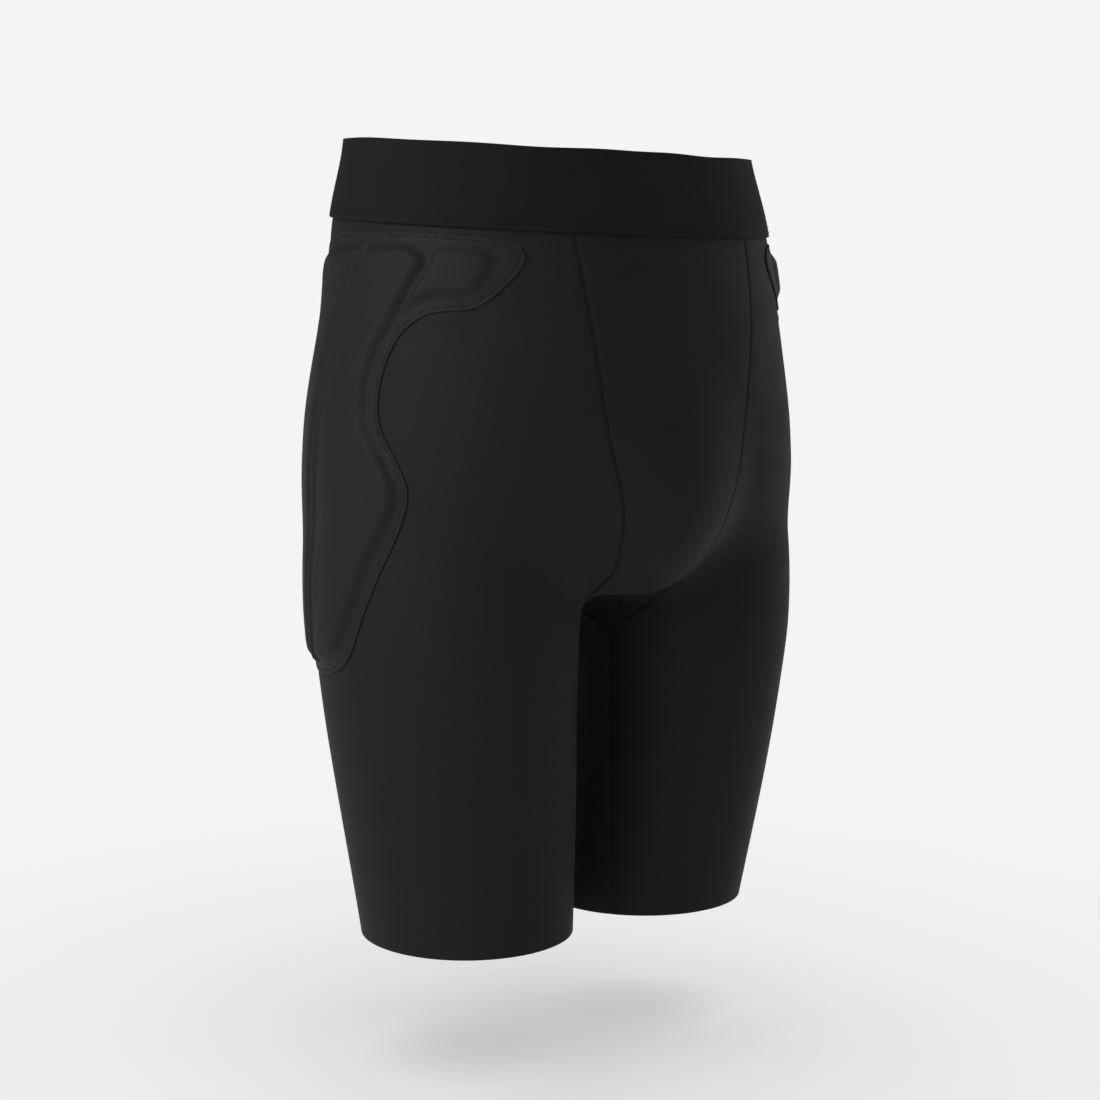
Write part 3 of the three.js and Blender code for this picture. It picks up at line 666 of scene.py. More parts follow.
def closed_curve(corners, count):
    """Evenly spaced points of a smooth closed curve. Between two corners it is a cubic whose
    slope at each corner is that of the line between the corners on either side."""
    before, after, far = np.roll(corners, 1, 0), np.roll(corners, -1, 0), np.roll(corners, -2, 0)
    t = np.linspace(0, 1, 16, endpoint=False)[None, :, None]
    a, b = corners[:, None], after[:, None]
    start, end = 0.5 * (after - before)[:, None], 0.5 * (far - corners)[:, None]
    dense = ((2 * t ** 3 - 3 * t ** 2 + 1) * a + (t ** 3 - 2 * t ** 2 + t) * start
             + (3 * t ** 2 - 2 * t ** 3) * b + (t ** 3 - t ** 2) * end).reshape(-1, 2)
    loop = np.vstack([dense, dense[:1]])
    place = np.concatenate([[0], np.cumsum(np.linalg.norm(np.diff(loop, axis=0), axis=1))])
    wanted = np.linspace(0, place[-1], count, endpoint=False)
    return np.stack([np.interp(wanted, place, loop[:, k]) for k in range(2)], -1)


def edge_distance(places, outline):
    """Distance to a closed outline, above zero inside it. The nearest place on each side is
    found by dropping a line to it, and a place is inside when a level line from it crosses the
    outline an odd number of times. Also gives the distance along the outline."""
    a = outline
    b = np.roll(outline, -1, 0)
    side = b - a
    run = np.concatenate([[0], np.cumsum(np.linalg.norm(side, axis=1))])[:-1]
    p = places.reshape(-1, 1, 2)
    t = np.clip(np.sum((p - a) * side, -1) / np.sum(side * side, -1), 0, 1)
    gap = np.linalg.norm(p - (a + t[..., None] * side), axis=-1)
    nearest = np.argmin(gap, axis=1)
    pick = np.arange(len(nearest))
    along = run[nearest] + t[pick, nearest] * np.linalg.norm(side, axis=1)[nearest]
    spans = (a[:, 1] > p[..., 1]) != (b[:, 1] > p[..., 1])
    height = np.where(side[:, 1] == 0, 1e-9, side[:, 1])
    crossing = a[:, 0] + (p[..., 1] - a[:, 1]) / height * side[:, 0]
    inside = (np.sum(spans & (p[..., 0] < crossing), axis=1) % 2) == 1
    distance = np.where(inside, 1, -1) * gap[pick, nearest]
    return distance.reshape(places.shape[:-1]), along.reshape(places.shape[:-1])


def pulled_in(outline, distance):
    """The outline moved inwards, along the bisector of its two neighbours."""
    along = unit(np.roll(outline, -1, 0) - np.roll(outline, 1, 0))
    x, y = outline[:, 0], outline[:, 1]
    turning = np.sign(np.sum(x * np.roll(y, -1) - np.roll(x, -1) * y))
    return outline + turning * distance * np.stack([-along[:, 1], along[:, 0]], -1)


OUTLINE_POINTS = 240
HIP_OUTLINE = closed_curve(flat_corners(HIP_COVER, SIDE_UNIT), OUTLINE_POINTS)
SEAT_OUTLINE = closed_curve(flat_corners(both_halves(SEAT_COVER), 1.0), OUTLINE_POINTS)
HIP_LOBES = {
    "front": closed_curve(flat_corners(HIP_FRONT, SIDE_UNIT), 120),
    "side": closed_curve(flat_corners(HIP_SIDE, SIDE_UNIT), 160),
    "rear": closed_curve(flat_corners(HIP_REAR, SIDE_UNIT), 160),
}
SEAT_LOBES = {
    "tailbone": closed_curve(flat_corners(both_halves(TAILBONE), 1.0), 120),
    "left": closed_curve(flat_corners(SEAT, 1.0), 120),
    "right": closed_curve(flat_corners([(-u, v) for u, v in SEAT], 1.0), 120),
}
FLANGE_LIFT = 0.25                       # between the shell and a cover's flat edge
STITCH_INSET = 2.4                       # line of stitching, from the cover's edge
BRIDGE_REACH = 9.0                       # how far outside the side and rear pads the bridge starts
BRIDGE_TOP = 0.97                        # its height, as a share of the pads'
LEDGE = 4.0                              # flat edge of the cover outside the side and rear pads


def shouldered(distance, width):
    """Height share of a pad's rounded edge: a quarter of a sine wave, raised to a power so that
    it also starts level."""
    return np.sin(np.clip(distance / width, 0, 1) * math.pi / 2) ** 1.35


def hip_height(places, pads):
    """How far the hip cover stands over its flat edge: the higher of the front lobe and the two
    others. Those rise together, with a bridge over the gap between them, and carry a ridge where
    the side turns to the back, which fades out across its line."""
    rise = {name: shouldered(edge_distance(places, lobe)[0], pads.shoulder)
            for name, lobe in HIP_LOBES.items()}
    front = pads.hip_foam * pads.front_share * rise["front"]
    near = [smooth(edge_distance(places, HIP_LOBES[name])[0] / BRIDGE_REACH + 1)
            for name in ("side", "rear")]
    bridge = np.minimum(1.1 * near[0] * near[1], BRIDGE_TOP)
    joined = np.maximum(np.minimum(rise["side"] + rise["rear"], 1), bridge)
    joined *= smooth((edge_distance(places, HIP_OUTLINE)[0] - LEDGE) / 5.0)
    line = flat_corners(RIDGE, SIDE_UNIT)
    across = places[..., 0] - np.interp(-places[..., 1], -line[:, 1], line[:, 0])
    crest = pads.ridge * (np.exp(-np.sqrt(across ** 2 + 4) / 16.0) - 0.15)
    return np.maximum(front, pads.hip_foam * joined + crest * joined)


def seat_height(places, pads):
    """How far the seat cover stands over its flat edge: one lobe over each pad."""
    rise = [shouldered(edge_distance(places, lobe)[0], pads.shoulder) for lobe in SEAT_LOBES.values()]
    return pads.seat_foam * np.max(rise, axis=0)


# ---------------------------------------------------------------- shell

LEG_COLUMNS = 190
UPPER_ROWS = 120
LOWER_ROWS = 62
STRIP_COLUMNS = 56
FRONT_JOIN_RISE = 5.6                     # height over the crotch where the front panel ends


def row_heights():
    """Rows from the panels' top to the crotch, closer towards it, and on to the hem."""
    share = np.linspace(0, 1, UPPER_ROWS + 1)
    upper = PANEL_TOP + (CROTCH_Z - PANEL_TOP) * (1 - (1 - share) ** 1.6)
    lower = CROTCH_Z + (HEM_Z - CROTCH_Z) * np.linspace(0, 1, LOWER_ROWS + 1)[1:] ** 1.15
    return upper, lower


def seam_angles(z):
    """Angles of the front and back seams at each height, and of the inseam below the crotch."""
    front, back = np.moveaxis(profile(SEAMS, z), -1, 0)
    return np.where(z <= CROTCH_Z, INSEAM, front), np.where(z <= CROTCH_Z, INSEAM + 360, back)


def seam_roll(from_edge):
    """The sewn edge of a panel rolls in a little, over its last millimetres."""
    return -0.40 * bell(from_edge / 1.1)


def cover_puckers(places, outline):
    """Ripples in the shell beside a sewn cover: a wave along the edge that fades away from it."""
    distance, along = edge_distance(places, outline)
    outside = np.maximum(-distance, 0)
    ripple = 0.16 * np.sin(along * 2 * math.pi / 7.8) * np.sin(along * 2 * math.pi / 31 + 1.0)
    return ripple * np.exp(-outside / 6.0) * smooth(outside / 2.0)


def front_fold(places):
    """A short soft crease in the shell, under the front pad's lowest edge."""
    u0, u1 = -58.0 * SIDE_UNIT, -37.0 * SIDE_UNIT
    line = drop(22.6) - 0.0009 * (places[..., 0] - 0.5 * (u0 + u1)) ** 2
    middle = (places[..., 0] - 0.5 * (u0 + u1)) / (0.5 * (u1 - u0))
    return (1.1 * bell((places[..., 1] - line) / 2.0) - 0.5 * bell((places[..., 1] - line + 4.5) / 3.0)) \
        * bell(middle * 1.15)


def over_band_foot(p):
    """Height of each point over the waistband's tilted bottom edge."""
    return p[..., 2] + BAND_HEIGHT - WAIST_TILT * p[..., 1]


def flat_under_band(detail, base):
    """Keeps the fabric's detail from rising where it is lapped under the waistband."""
    return np.where(over_band_foot(base) > 1.5, np.minimum(detail, 0), detail)


def flat_under_cover(detail, places, outline):
    """Fades the fabric's detail out under a cover, to a level a little below the body."""
    hidden = smooth(edge_distance(places, outline)[0] / 6.0)
    return detail * (1 - hidden) - 0.2 * hidden


def band_gathers(p):
    """Fine upright ripples where the panels are gathered into the waistband."""
    turn = np.arctan2(p[..., 1], p[..., 0])
    below = np.maximum(-over_band_foot(p), 0)
    return 0.14 * np.sin(turn * 120) * np.sin(turn * 23 + 0.6) * np.exp(-below / 7.0)


def leg_drape(angle, z):
    """Slack in the legs: short creases at the top of the inner thigh, and a long, shallow sway
    that grows below the crotch."""
    down = CROTCH_Z - z
    turn = np.radians(angle)
    upper = bell((z - CROTCH_Z - 6) / 46) * bell((np.mod(angle + 151 + 180, 360) - 180) / 42)
    creases = np.sin(turn * 9 + z * 0.085) * 0.75 * upper
    sway = 0.35 * np.sin(turn * 3 + down * 0.021) * smooth(down / 60)
    return creases + sway


def leg_grid():
    """Points of the left leg panel on the body, with their angle, height and flat place."""
    upper, lower = row_heights()
    z = np.concatenate([upper, lower])
    front, back = seam_angles(z)
    share = np.linspace(0, 1, LEG_COLUMNS + 1)
    share = share - 0.02 * np.sin(share * 2 * math.pi)
    angle = front[:, None] + (back - front)[:, None] * share[None]
    height = np.broadcast_to(z[:, None], angle.shape)
    return dip(side_point(angle, height)), angle, height


def leg_surface(fabric):
    """Outer and inner grids of the left leg panel: the body, raised by the fabric, with its
    rolled seams, its ripples beside the waistband and the cover, and its slack."""
    base, angle, height = leg_grid()
    normal = normal_at(base)
    across = row_lengths(base)
    from_edge = np.minimum(across, across[:, -1:] - across)
    places = np.stack([angle * SIDE_UNIT, base[..., 2]], -1)
    detail = (seam_roll(from_edge) + cover_puckers(places, HIP_OUTLINE) + front_fold(places)
              + band_gathers(base))
    away = np.maximum(smooth(from_edge / 26), smooth((CROTCH_Z - height) / 30))
    detail += leg_drape(angle, height) * away
    detail = flat_under_band(flat_under_cover(detail, places, HIP_OUTLINE), base)
    outer = base + normal * (fabric.shell + detail)[..., None]
    return outer, base + normal * detail[..., None]


def strip_row(edge, middle):
    """A row of the centre strip: straight across, and a parabola through the middle point."""
    s = np.linspace(-1, 1, STRIP_COLUMNS + 1)[None, :]
    return np.stack([
        edge[:, 0:1] * s,
        middle[:, 1:2] + (edge[:, 1:2] - middle[:, 1:2]) * s * s,
        middle[:, 2:3] + (edge[:, 2:3] - middle[:, 2:3]) * s * s], -1)


def strip_grid():
    """The centre strip, down the front, under the crotch and up the back, as three grids."""
    upper = row_heights()[0]
    front, back = seam_angles(upper)
    under_start = CROTCH_Z + 50
    first = int(np.argmax(upper < under_start))

    def centre(z, towards):
        start = np.stack([np.zeros(z.shape), np.full(z.shape, -20.0), z], -1)
        return leave(start, (0.0, towards, 0.0))

    turn = np.array([under_start])
    front_turn, back_turn = centre(turn, -1.0)[0], centre(turn, 1.0)[0]
    rows = 2 * (len(upper) - 1 - first) + 1
    share = (np.arange(rows) + 1) / (rows + 1)
    y = front_turn[1] + (back_turn[1] - front_turn[1]) * share
    under = leave(np.stack([np.zeros(rows), y, np.full(rows, CROTCH_Z + 120.0)], -1), (0.0, 0.0, -1.0))
    front_edge, back_edge = side_point(front, upper), side_point(back, upper)
    edges = np.concatenate([front_edge, back_edge[-2::-1]])
    middles = np.concatenate([centre(upper[:first], -1.0), under, centre(upper[:first], 1.0)[::-1]])
    grid = dip(settle(strip_row(edges, middles)))
    join = int(np.argmax(upper < CROTCH_Z + FRONT_JOIN_RISE))
    last = len(grid) - 1 - first
    return grid[:join + 1], grid[join:last + 1], grid[last:]


def strip_surface(base, fabric, start_seam, end_seam):
    """Outer and inner grids of one panel of the centre strip, with its rolled edges. The flags
    say whether its first and last rows are sewn across."""
    normal = normal_at(base)
    across = row_lengths(base)
    down = row_lengths(base.swapaxes(0, 1)).T
    edge = np.minimum(across, across[:, -1:] - across)
    if start_seam:
        edge = np.minimum(edge, down)
    if end_seam:
        edge = np.minimum(edge, down[-1:] - down)
    detail = flat_under_band(seam_roll(edge) + band_gathers(base), base)
    carries_seat_cover = start_seam and not end_seam
    if carries_seat_cover:
        places = base[..., [0, 2]]
        detail = flat_under_cover(detail + cover_puckers(places, SEAT_OUTLINE), places, SEAT_OUTLINE)
    outer = base + normal * (fabric.shell + detail)[..., None]
    return outer, base + normal * detail[..., None]


def shell_piece(name, node, outer, inner, material):
    """One closed panel of the shell."""
    points, faces = closed_layer(outer, inner)
    piece = put_mesh(name, points, faces, grid_uv(outer))
    finish_piece(piece, material, node)
    declare_sheet(outer)
    return piece


# ---------------------------------------------------------------- waistband and tapes

BAND_COLUMNS = 420
BAND_FACE_ROWS = 34                      # points down the webbing's outside, and up its inside
BAND_LIFT = 1.25                         # from the body to the webbing's inside


def waist_point(turn, depth):
    """The trunk's surface by the turn round the waist and the depth under the tilted rim."""
    turn, depth = np.broadcast_arrays(np.asarray(turn, float), np.asarray(depth, float))
    start = np.stack([np.zeros(turn.shape), np.zeros(turn.shape), -depth], -1)
    p = leave(start, np.stack([np.cos(turn), np.sin(turn), np.zeros(turn.shape)], -1))
    p[..., 2] = -depth + WAIST_TILT * p[..., 1]
    return settle(p)


def band_section(thickness):
    """Profile of the webbing as [depth, height over the body]: flat outside and inside, with
    both edges rounded by half a circle, listed round the section."""
    r = 0.5 * thickness
    turn = np.linspace(0, math.pi, 9)
    down = np.linspace(r, BAND_HEIGHT - r, BAND_FACE_ROWS)
    outside = np.stack([down, np.full(BAND_FACE_ROWS, BAND_LIFT + thickness)], -1)
    foot = np.stack([BAND_HEIGHT - r + r * np.sin(turn), BAND_LIFT + r + r * np.cos(turn)], -1)[1:-1]
    inside = np.stack([down[::-1], np.full(BAND_FACE_ROWS, BAND_LIFT)], -1)
    top = np.stack([r - r * np.sin(turn), BAND_LIFT + r - r * np.cos(turn)], -1)[1:-1]
    return np.concatenate([outside, foot, inside, top])


def band_surface(thickness):
    """The section carried round the waist. The rim and the foot wave a little, the face has
    faint lengthwise ridges, and a narrow dent at the back marks where the loop is joined."""
    section = band_section(thickness)
    turn = np.linspace(0, 2 * math.pi, BAND_COLUMNS, endpoint=False)[None]
    depth, lift = section[:, 0:1], section[:, 1:2]
    wave = 0.35 * np.sin(turn * 5 + 0.8) + 0.22 * np.sin(turn * 11 + 2.0)
    base = waist_point(turn, depth + wave * (1 - depth / BAND_HEIGHT))
    outside = smooth((lift - 1.5) / 0.5)
    ridges = 0.05 * np.sin(depth * 2 * math.pi / 2.5) * outside
    ease = 0.28 * np.sin(turn * 7 + depth * 0.05) * smooth(depth / BAND_HEIGHT)
    crown = 0.35 * np.sin(math.pi * depth / BAND_HEIGHT) * outside
    behind = unit(base)[..., 1] > 0
    dent = -0.4 * bell(base[..., 0] / 0.9) * behind * outside
    return base + normal_at(base) * (lift + ridges + ease * 0.5 + crown + dent)[..., None], section


def ring_tape(base, outer, thickness):
    """Outer and inner grids of a thin ring, between two heights over the body."""
    normal = normal_at(base)
    return base + normal * outer, base + normal * (outer - thickness)


# ---------------------------------------------------------------- stitching

def path_frames(path, closed, spacing):
    """Evenly spaced points along a path on the body, with the directions along it, across it
    and out of the body."""
    loop = np.vstack([path, path[:1]]) if closed else path
    place = np.concatenate([[0], np.cumsum(np.linalg.norm(np.diff(loop, axis=0), axis=1))])
    count = max(int(round(place[-1] / spacing)), 2)
    wanted = (np.arange(count) + 0.5) * place[-1] / count
    points = np.stack([np.interp(wanted, place, loop[:, k]) for k in range(3)], -1)
    ahead = np.stack([np.interp(wanted + 0.4, place, loop[:, k]) for k in range(3)], -1)
    behind = np.stack([np.interp(wanted - 0.4, place, loop[:, k]) for k in range(3)], -1)
    along = unit(ahead - behind)
    up = normal_at(points)
    across = unit(np.cross(up, along))
    return points, along, across, np.cross(along, across)


def stitch_shape(long, thick):
    """One stitch: five rings of six points, thick in the middle and closed at both ends, bowed
    so that its ends dive into the fabric. Few faces, because it is repeated."""
    t = np.linspace(-1, 1, 5)
    radius = thick * 0.5 * np.sqrt(1 - 0.72 * t * t)
    turn = np.linspace(0, 2 * math.pi, 6, endpoint=False)
    x = np.repeat(t * long * 0.5, 6)
    y = (radius[:, None] * np.cos(turn)).ravel()
    z = (radius[:, None] * np.sin(turn) - thick * 0.9 * (t ** 4)[:, None]).ravel()
    rings = np.stack([x, y, z], -1)
    caps = np.array([(-long * 0.54, 0, -thick), (long * 0.54, 0, -thick)])
    faces = grid_faces(5, 6, wrap=True)
    first = np.stack([np.full(6, 30), (np.arange(6) + 1) % 6, np.arange(6)], -1)
    second = np.stack([np.full(6, 31), 24 + np.arange(6), 24 + (np.arange(6) + 1) % 6], -1)
    return np.vstack([rings, caps]), [faces, np.vstack([first, second])]


def stitches(path, closed, rows, thick, lift, spacing):
    """Rows of stitches along a path. Each row is [distance to the side, slant in degrees, share
    of the spacing that a stitch takes, height over the path]; a slant swings to and fro."""
    points, faces = [], [[], []]
    start = 0
    for offset, slant, share, raised in rows:
        centre, along, across, up = path_frames(path, closed, spacing)
        shape, shape_faces = stitch_shape(spacing * share, thick)
        swing = np.radians(slant) * np.where(np.arange(len(centre)) % 2 == 0, 1, -1)[:, None]
        forward = along * np.cos(swing) + across * np.sin(swing)
        sideways = -along * np.sin(swing) + across * np.cos(swing)
        middle = centre + across * offset + up * (lift + raised)
        made = (middle[:, None] + forward[:, None] * shape[None, :, 0:1]
                + sideways[:, None] * shape[None, :, 1:2] + up[:, None] * shape[None, :, 2:3])
        shift = start + np.arange(len(centre))[:, None, None] * len(shape)
        for k in range(2):
            faces[k].append((shape_faces[k][None] + shift).reshape(-1, shape_faces[k].shape[1]))
        points.append(made.reshape(-1, 3))
        start += made.shape[0] * made.shape[1]
    points = np.concatenate(points)
    return points, outward(points, [np.concatenate(group) for group in faces])


# rows of [distance to the side, slant in degrees, share of the spacing, height over the path]
LOCKSTITCH = ((0.0, 0.0, 0.74, 0.0),)
FLATLOCK = ((-0.8, 0.0, 0.8, 0.0), (0.8, 0.0, 0.8, 0.0), (0.0, 42.0, 0.9, 0.08))
TWIN_NEEDLE = ((-1.6, 0.0, 0.78, 0.0), (1.6, 0.0, 0.78, 0.0))
FLATLOCK_PITCH = 1.7
STITCH_STEP = 0.22                       # stitches lie this far over the webbing or in a cover


def stitched_piece(name, node, path, rows, lift, fabric, material, closed=False, spacing=None):
    """Stitches along a path, as one piece."""
    points, faces = stitches(path, closed, rows, fabric.thread, lift, spacing or fabric.pitch)
    piece = put_mesh(name, points, faces, sharp=None)
    return finish_piece(piece, material, node)


# ---------------------------------------------------------------- foam and covers

FOAM_INSET = 0.9                         # from a lobe's outline to the foam's edge
DIMPLE_PITCH = 9.0

def filled(outline, insets, spacing):
    """Flat points that fill an outline, and the triangles between them: rings that follow the
    outline at each inset, then a lattice of equal triangles in the space inside. The outline's
    own points come first."""
    rings = [outline]
    for inset in insets[1:]:
        ring = pulled_in(outline, inset)
        rings.append(ring[edge_distance(ring, outline)[0] > 0.85 * inset])
    low, high = outline.min(0), outline.max(0)
    rows = np.arange(low[1], high[1], spacing * math.sqrt(0.75))
    columns = np.arange(low[0], high[0], spacing)
    x = columns[None] + 0.5 * spacing * (np.arange(len(rows)) % 2)[:, None]
    lattice = np.stack([x, np.broadcast_to(rows[:, None], x.shape)], -1).reshape(-1, 2)
    inside = edge_distance(lattice, outline)[0]
    points = np.concatenate([*rings, lattice[inside > insets[-1] + 0.6 * spacing]])
    count = len(outline)
    edges = [(i, (i + 1) % count) for i in range(count)]
    made = delaunay_2d_cdt([Vector(p) for p in points], edges, [], 0, 1e-7, True)
    if len(made[0]) != len(points):
        raise RuntimeError("the outline crosses itself or two of its points fall together")
    triangles = np.array(made[2])
    centres = points[triangles].mean(1)
    return points, triangles[edge_distance(centres, outline)[0] > 0]


def closed_pad(place, flat, triangles, rim, top, bottom):
    """Points and faces of a pad: its top, its underside and a strip round the rim, which is the
    first points. place turns flat places into body points; top and bottom are heights."""
    base = place(flat)
    normal = normal_at(base)
    points = np.concatenate([base + normal * top[:, None], base + normal * bottom[:, None]])
    half = len(base)
    j = np.arange(rim)
    ahead = (j + 1) % rim
    spin = points[triangles]
    facing = np.sum(np.cross(spin[:, 1] - spin[:, 0], spin[:, 2] - spin[:, 0])
                    * normal[triangles[:, 0]], axis=1)
    triangles = np.where(facing[:, None] > 0, triangles, triangles[:, ::-1])
    strip = np.stack([j, ahead, ahead + half, j + half], -1)
    first = triangles[np.any(triangles == 0, axis=1) & np.any(triangles == 1, axis=1)][0]
    at = int(np.flatnonzero(first == 0)[0])
    if first[(at + 1) % 3] == 1:
        strip = strip[:, ::-1]
    return points, [np.vstack([triangles, triangles[:, ::-1] + half]), strip]


def foam_piece(name, node, place, outline, height, base_height, material):
    """Moulded foam: rounded over at its edge, with rows of small round dimples that let it
    breathe and bend."""
    outline = pulled_in(outline, FOAM_INSET)
    flat, triangles = filled(outline, (0.0, 0.8, 1.8, 3.0, 4.4), 2.4)
    inside = np.maximum(edge_distance(flat, outline)[0], 0)
    top = base_height + 0.5 + (height - 0.5) * shouldered(inside + 0.3, 6.0)
    shifted = flat[:, 0] + 0.5 * DIMPLE_PITCH * (np.floor(flat[:, 1] / DIMPLE_PITCH) % 2)
    x = np.mod(shifted, DIMPLE_PITCH) - 0.5 * DIMPLE_PITCH
    y = np.mod(flat[:, 1], DIMPLE_PITCH) - 0.5 * DIMPLE_PITCH
    top = top - 1.0 * bell(np.hypot(x, y) / 1.9) * smooth((inside - 5) / 4)
    bottom = np.full(top.shape, base_height)
    piece = put_mesh(name, *closed_pad(place, flat, triangles, len(outline), top, bottom))
    finish_piece(piece, material, node)
    return piece


def puffed(points, faces, hold, pads):
    """Cloth simulation of a cover: pressure swells it while its held points stay. Returns the
    moved points, each no further than the cap. hold is one on held points and zero on free."""
    scene = bpy.context.scene
    piece = put_mesh("cover_swelling", points, faces, sharp=None)
    group = piece.vertex_groups.new(name="held")
    weights = np.round(hold * 10) / 10
    for level in np.unique(weights[weights > 0]):
        group.add(np.flatnonzero(weights == level).tolist(), float(level), "REPLACE")
    modifier = piece.modifiers.new("Cloth", "CLOTH")
    settings = modifier.settings
    settings.quality = 6
    settings.mass = 0.2
    settings.tension_stiffness = 12
    settings.compression_stiffness = 12
    settings.shear_stiffness = 4
    settings.bending_stiffness = 0.15
    settings.use_pressure = True
    settings.uniform_pressure_force = pads.pressure
    settings.vertex_group_mass = "held"
    settings.pin_stiffness = 4
    settings.effector_weights.gravity = 0
    modifier.collision_settings.use_collision = False
    modifier.point_cache.frame_start = 1
    modifier.point_cache.frame_end = pads.frames
    for step in range(1, pads.frames + 1):
        scene.frame_set(step)
    deps = bpy.context.evaluated_depsgraph_get()
    result = piece.evaluated_get(deps).to_mesh()
    moved = np.empty(len(points) * 3)
    result.vertices.foreach_get("co", moved)
    piece.evaluated_get(deps).to_mesh_clear()
    moved = moved.reshape(-1, 3) / MM
    data = piece.data
    bpy.data.objects.remove(piece)
    bpy.data.meshes.remove(data)
    scene.frame_set(1)
    shift = moved - points
    reach = np.linalg.norm(shift, axis=1, keepdims=True)
    if not np.isfinite(reach).all() or reach.max() < 1e-4:
        raise RuntimeError("the cover's cloth simulation did not move it")
    return points + shift * np.minimum(1, pads.cap / np.maximum(reach, 1e-9)) * (1 - hold)[:, None]


def cover_points(place, outline, height_of, fabric, pads):
    """A cover after its swelling. Its underside lies on the shell at the edge and on the foam in
    the middle. The sewn edge is flat, dips at the stitching and ripples beside it."""
    flat, triangles = filled(outline, (0.0, 0.7, 1.5, 2.4, 3.3, 4.3, 5.6), 2.1)
    distance, along = edge_distance(flat, outline)
    distance = np.maximum(distance, 0)
    height = height_of(flat, pads)
    groove = -0.40 * bell((distance - STITCH_INSET) / 0.8)
    ripple = (0.20 * np.sin(along * math.pi / fabric.pitch) * bell((distance - STITCH_INSET) / 1.8)
              + 0.16 * np.sin(along * 2 * math.pi / 9.4) * np.sin(along * 2 * math.pi / 37)
              * bell((distance - 5.5) / 3.0))
    lowest = fabric.shell + FLANGE_LIFT
    top = lowest + fabric.cover + height + groove + ripple
    bottom = np.maximum(top - fabric.cover, lowest - 0.12)
    points, faces = closed_pad(place, flat, triangles, len(outline), top, bottom)
    free = smooth((distance - 5.5) / 5.0) * smooth(height / pads.hip_foam * 2.2 - 0.6)
    half = len(flat)
    top_faces = [faces[0][:len(triangles)]]
    swollen = puffed(points[:half], top_faces, 1 - free, pads)
    gain = swollen - points[:half]
    return np.concatenate([swollen, points[half:] + gain]), faces


def cover_piece(name, node, points, faces, material):
    """One cover, as a closed padded piece."""
    piece = put_mesh(name, points, outward(points, faces), sharp=None)
    finer = piece.modifiers.new("Subdivision", "SUBSURF")
    finer.levels = 1
    finer.render_levels = 1
    finish_piece(piece, material, node)
    return piece


def hip_place(side):
    """Turns flat places at the hip into body points, on one side."""
    def place(flat):
        return on_side(side_point(flat[..., 0] / SIDE_UNIT, flat[..., 1]), side)
    return place


def seat_place(flat):
    """Turns flat places on the back into body points."""
    return back_point(flat[..., 0], flat[..., 1])


# ---------------------------------------------------------------- operators

def groups(context):
    """The three groups of settings."""
    scene = context.scene
    return scene.shorts_fabric, scene.shorts_pads, scene.shorts_finishes


class SHORTS_OT_shell(bpy.types.Operator):
    """Builds the two leg panels and the centre strip's three panels"""
    bl_idname = "shorts.shell"
    bl_label = "Shell panels"

    def execute(self, context):
        fabric, _, finishes = groups(context)
        material = knit_material(finishes)
        outer, inner = leg_surface(fabric)
        for word, side in SIDES:
            shell_piece(f"{word}_leg_shell", f"{word}_leg_panel", on_side(outer, side),
                        on_side(inner, side), material)
        front, gusset, seat = strip_grid()
        for name, node, base, start, end in (
                ("front_centre_shell", "front_panel", front, False, True),
                ("gusset_shell", "crotch_gusset", gusset, True, True),
                ("seat_centre_shell", "seat_panel", seat, True, False)):
            shell_piece(name, node, *strip_surface(base, fabric, start, end), material)
        return {"FINISHED"}


class SHORTS_OT_waistband(bpy.types.Operator):
    """Builds the elastic webbing, its inner tape and its stitching"""
    bl_idname = "shorts.waistband"
    bl_label = "Waistband"

    def execute(self, context):
        fabric, _, finishes = groups(context)
        surface, _ = band_surface(fabric.webbing)
        rows, columns = surface.shape[:2]
        points = surface.reshape(-1, 3)
        ring = np.concatenate([surface, surface[:1]])
        faces = grid_faces(rows + 1, columns, wrap=True) % len(points)
        across = row_lengths(np.concatenate([ring, ring[:, :1]], axis=1))[0, :-1]
        down = row_lengths(ring[:, :1].swapaxes(0, 1))[0, :-1]
        uv = np.stack(np.broadcast_arrays(across[None], -down[:, None]), -1).reshape(-1, 2) * MM
        piece = put_mesh("waistband_webbing", points, outward(points, [faces]), uv)
        finish_piece(piece, webbing_material(finishes), "waistband_elastic")
        face = np.concatenate([surface[:BAND_FACE_ROWS], surface[:BAND_FACE_ROWS, :1]], axis=1)
        declare_sheet(face)

        turn = np.linspace(0, 2 * math.pi, BAND_COLUMNS, endpoint=False)[None]
        top = BAND_HEIGHT - BAND_LAP - 2
        depth = np.linspace(top, top + fabric.join_tape, 8)[:, None]
        base = waist_point(turn, depth)
        outer, inner = ring_tape(base, -0.75, fabric.tape)
        points, faces = closed_layer(outer, inner, wrap=True)
        tape = put_mesh("waistband_inner_tape", points, faces, grid_uv(outer))
        finish_piece(tape, tape_material(finishes), "waistband_join_tape")
        declare_sheet(np.concatenate([outer, outer[:, :1]], axis=1))

        path = waist_point(turn, np.full((1, 1), BAND_HEIGHT - BAND_LAP / 2))[0]
        lift = BAND_LIFT + fabric.webbing + STITCH_STEP
        stitched_piece("waistband_threads", "waistband_stitching", path, TWIN_NEEDLE, lift, fabric,
                       thread_material(finishes), closed=True)
        return {"FINISHED"}


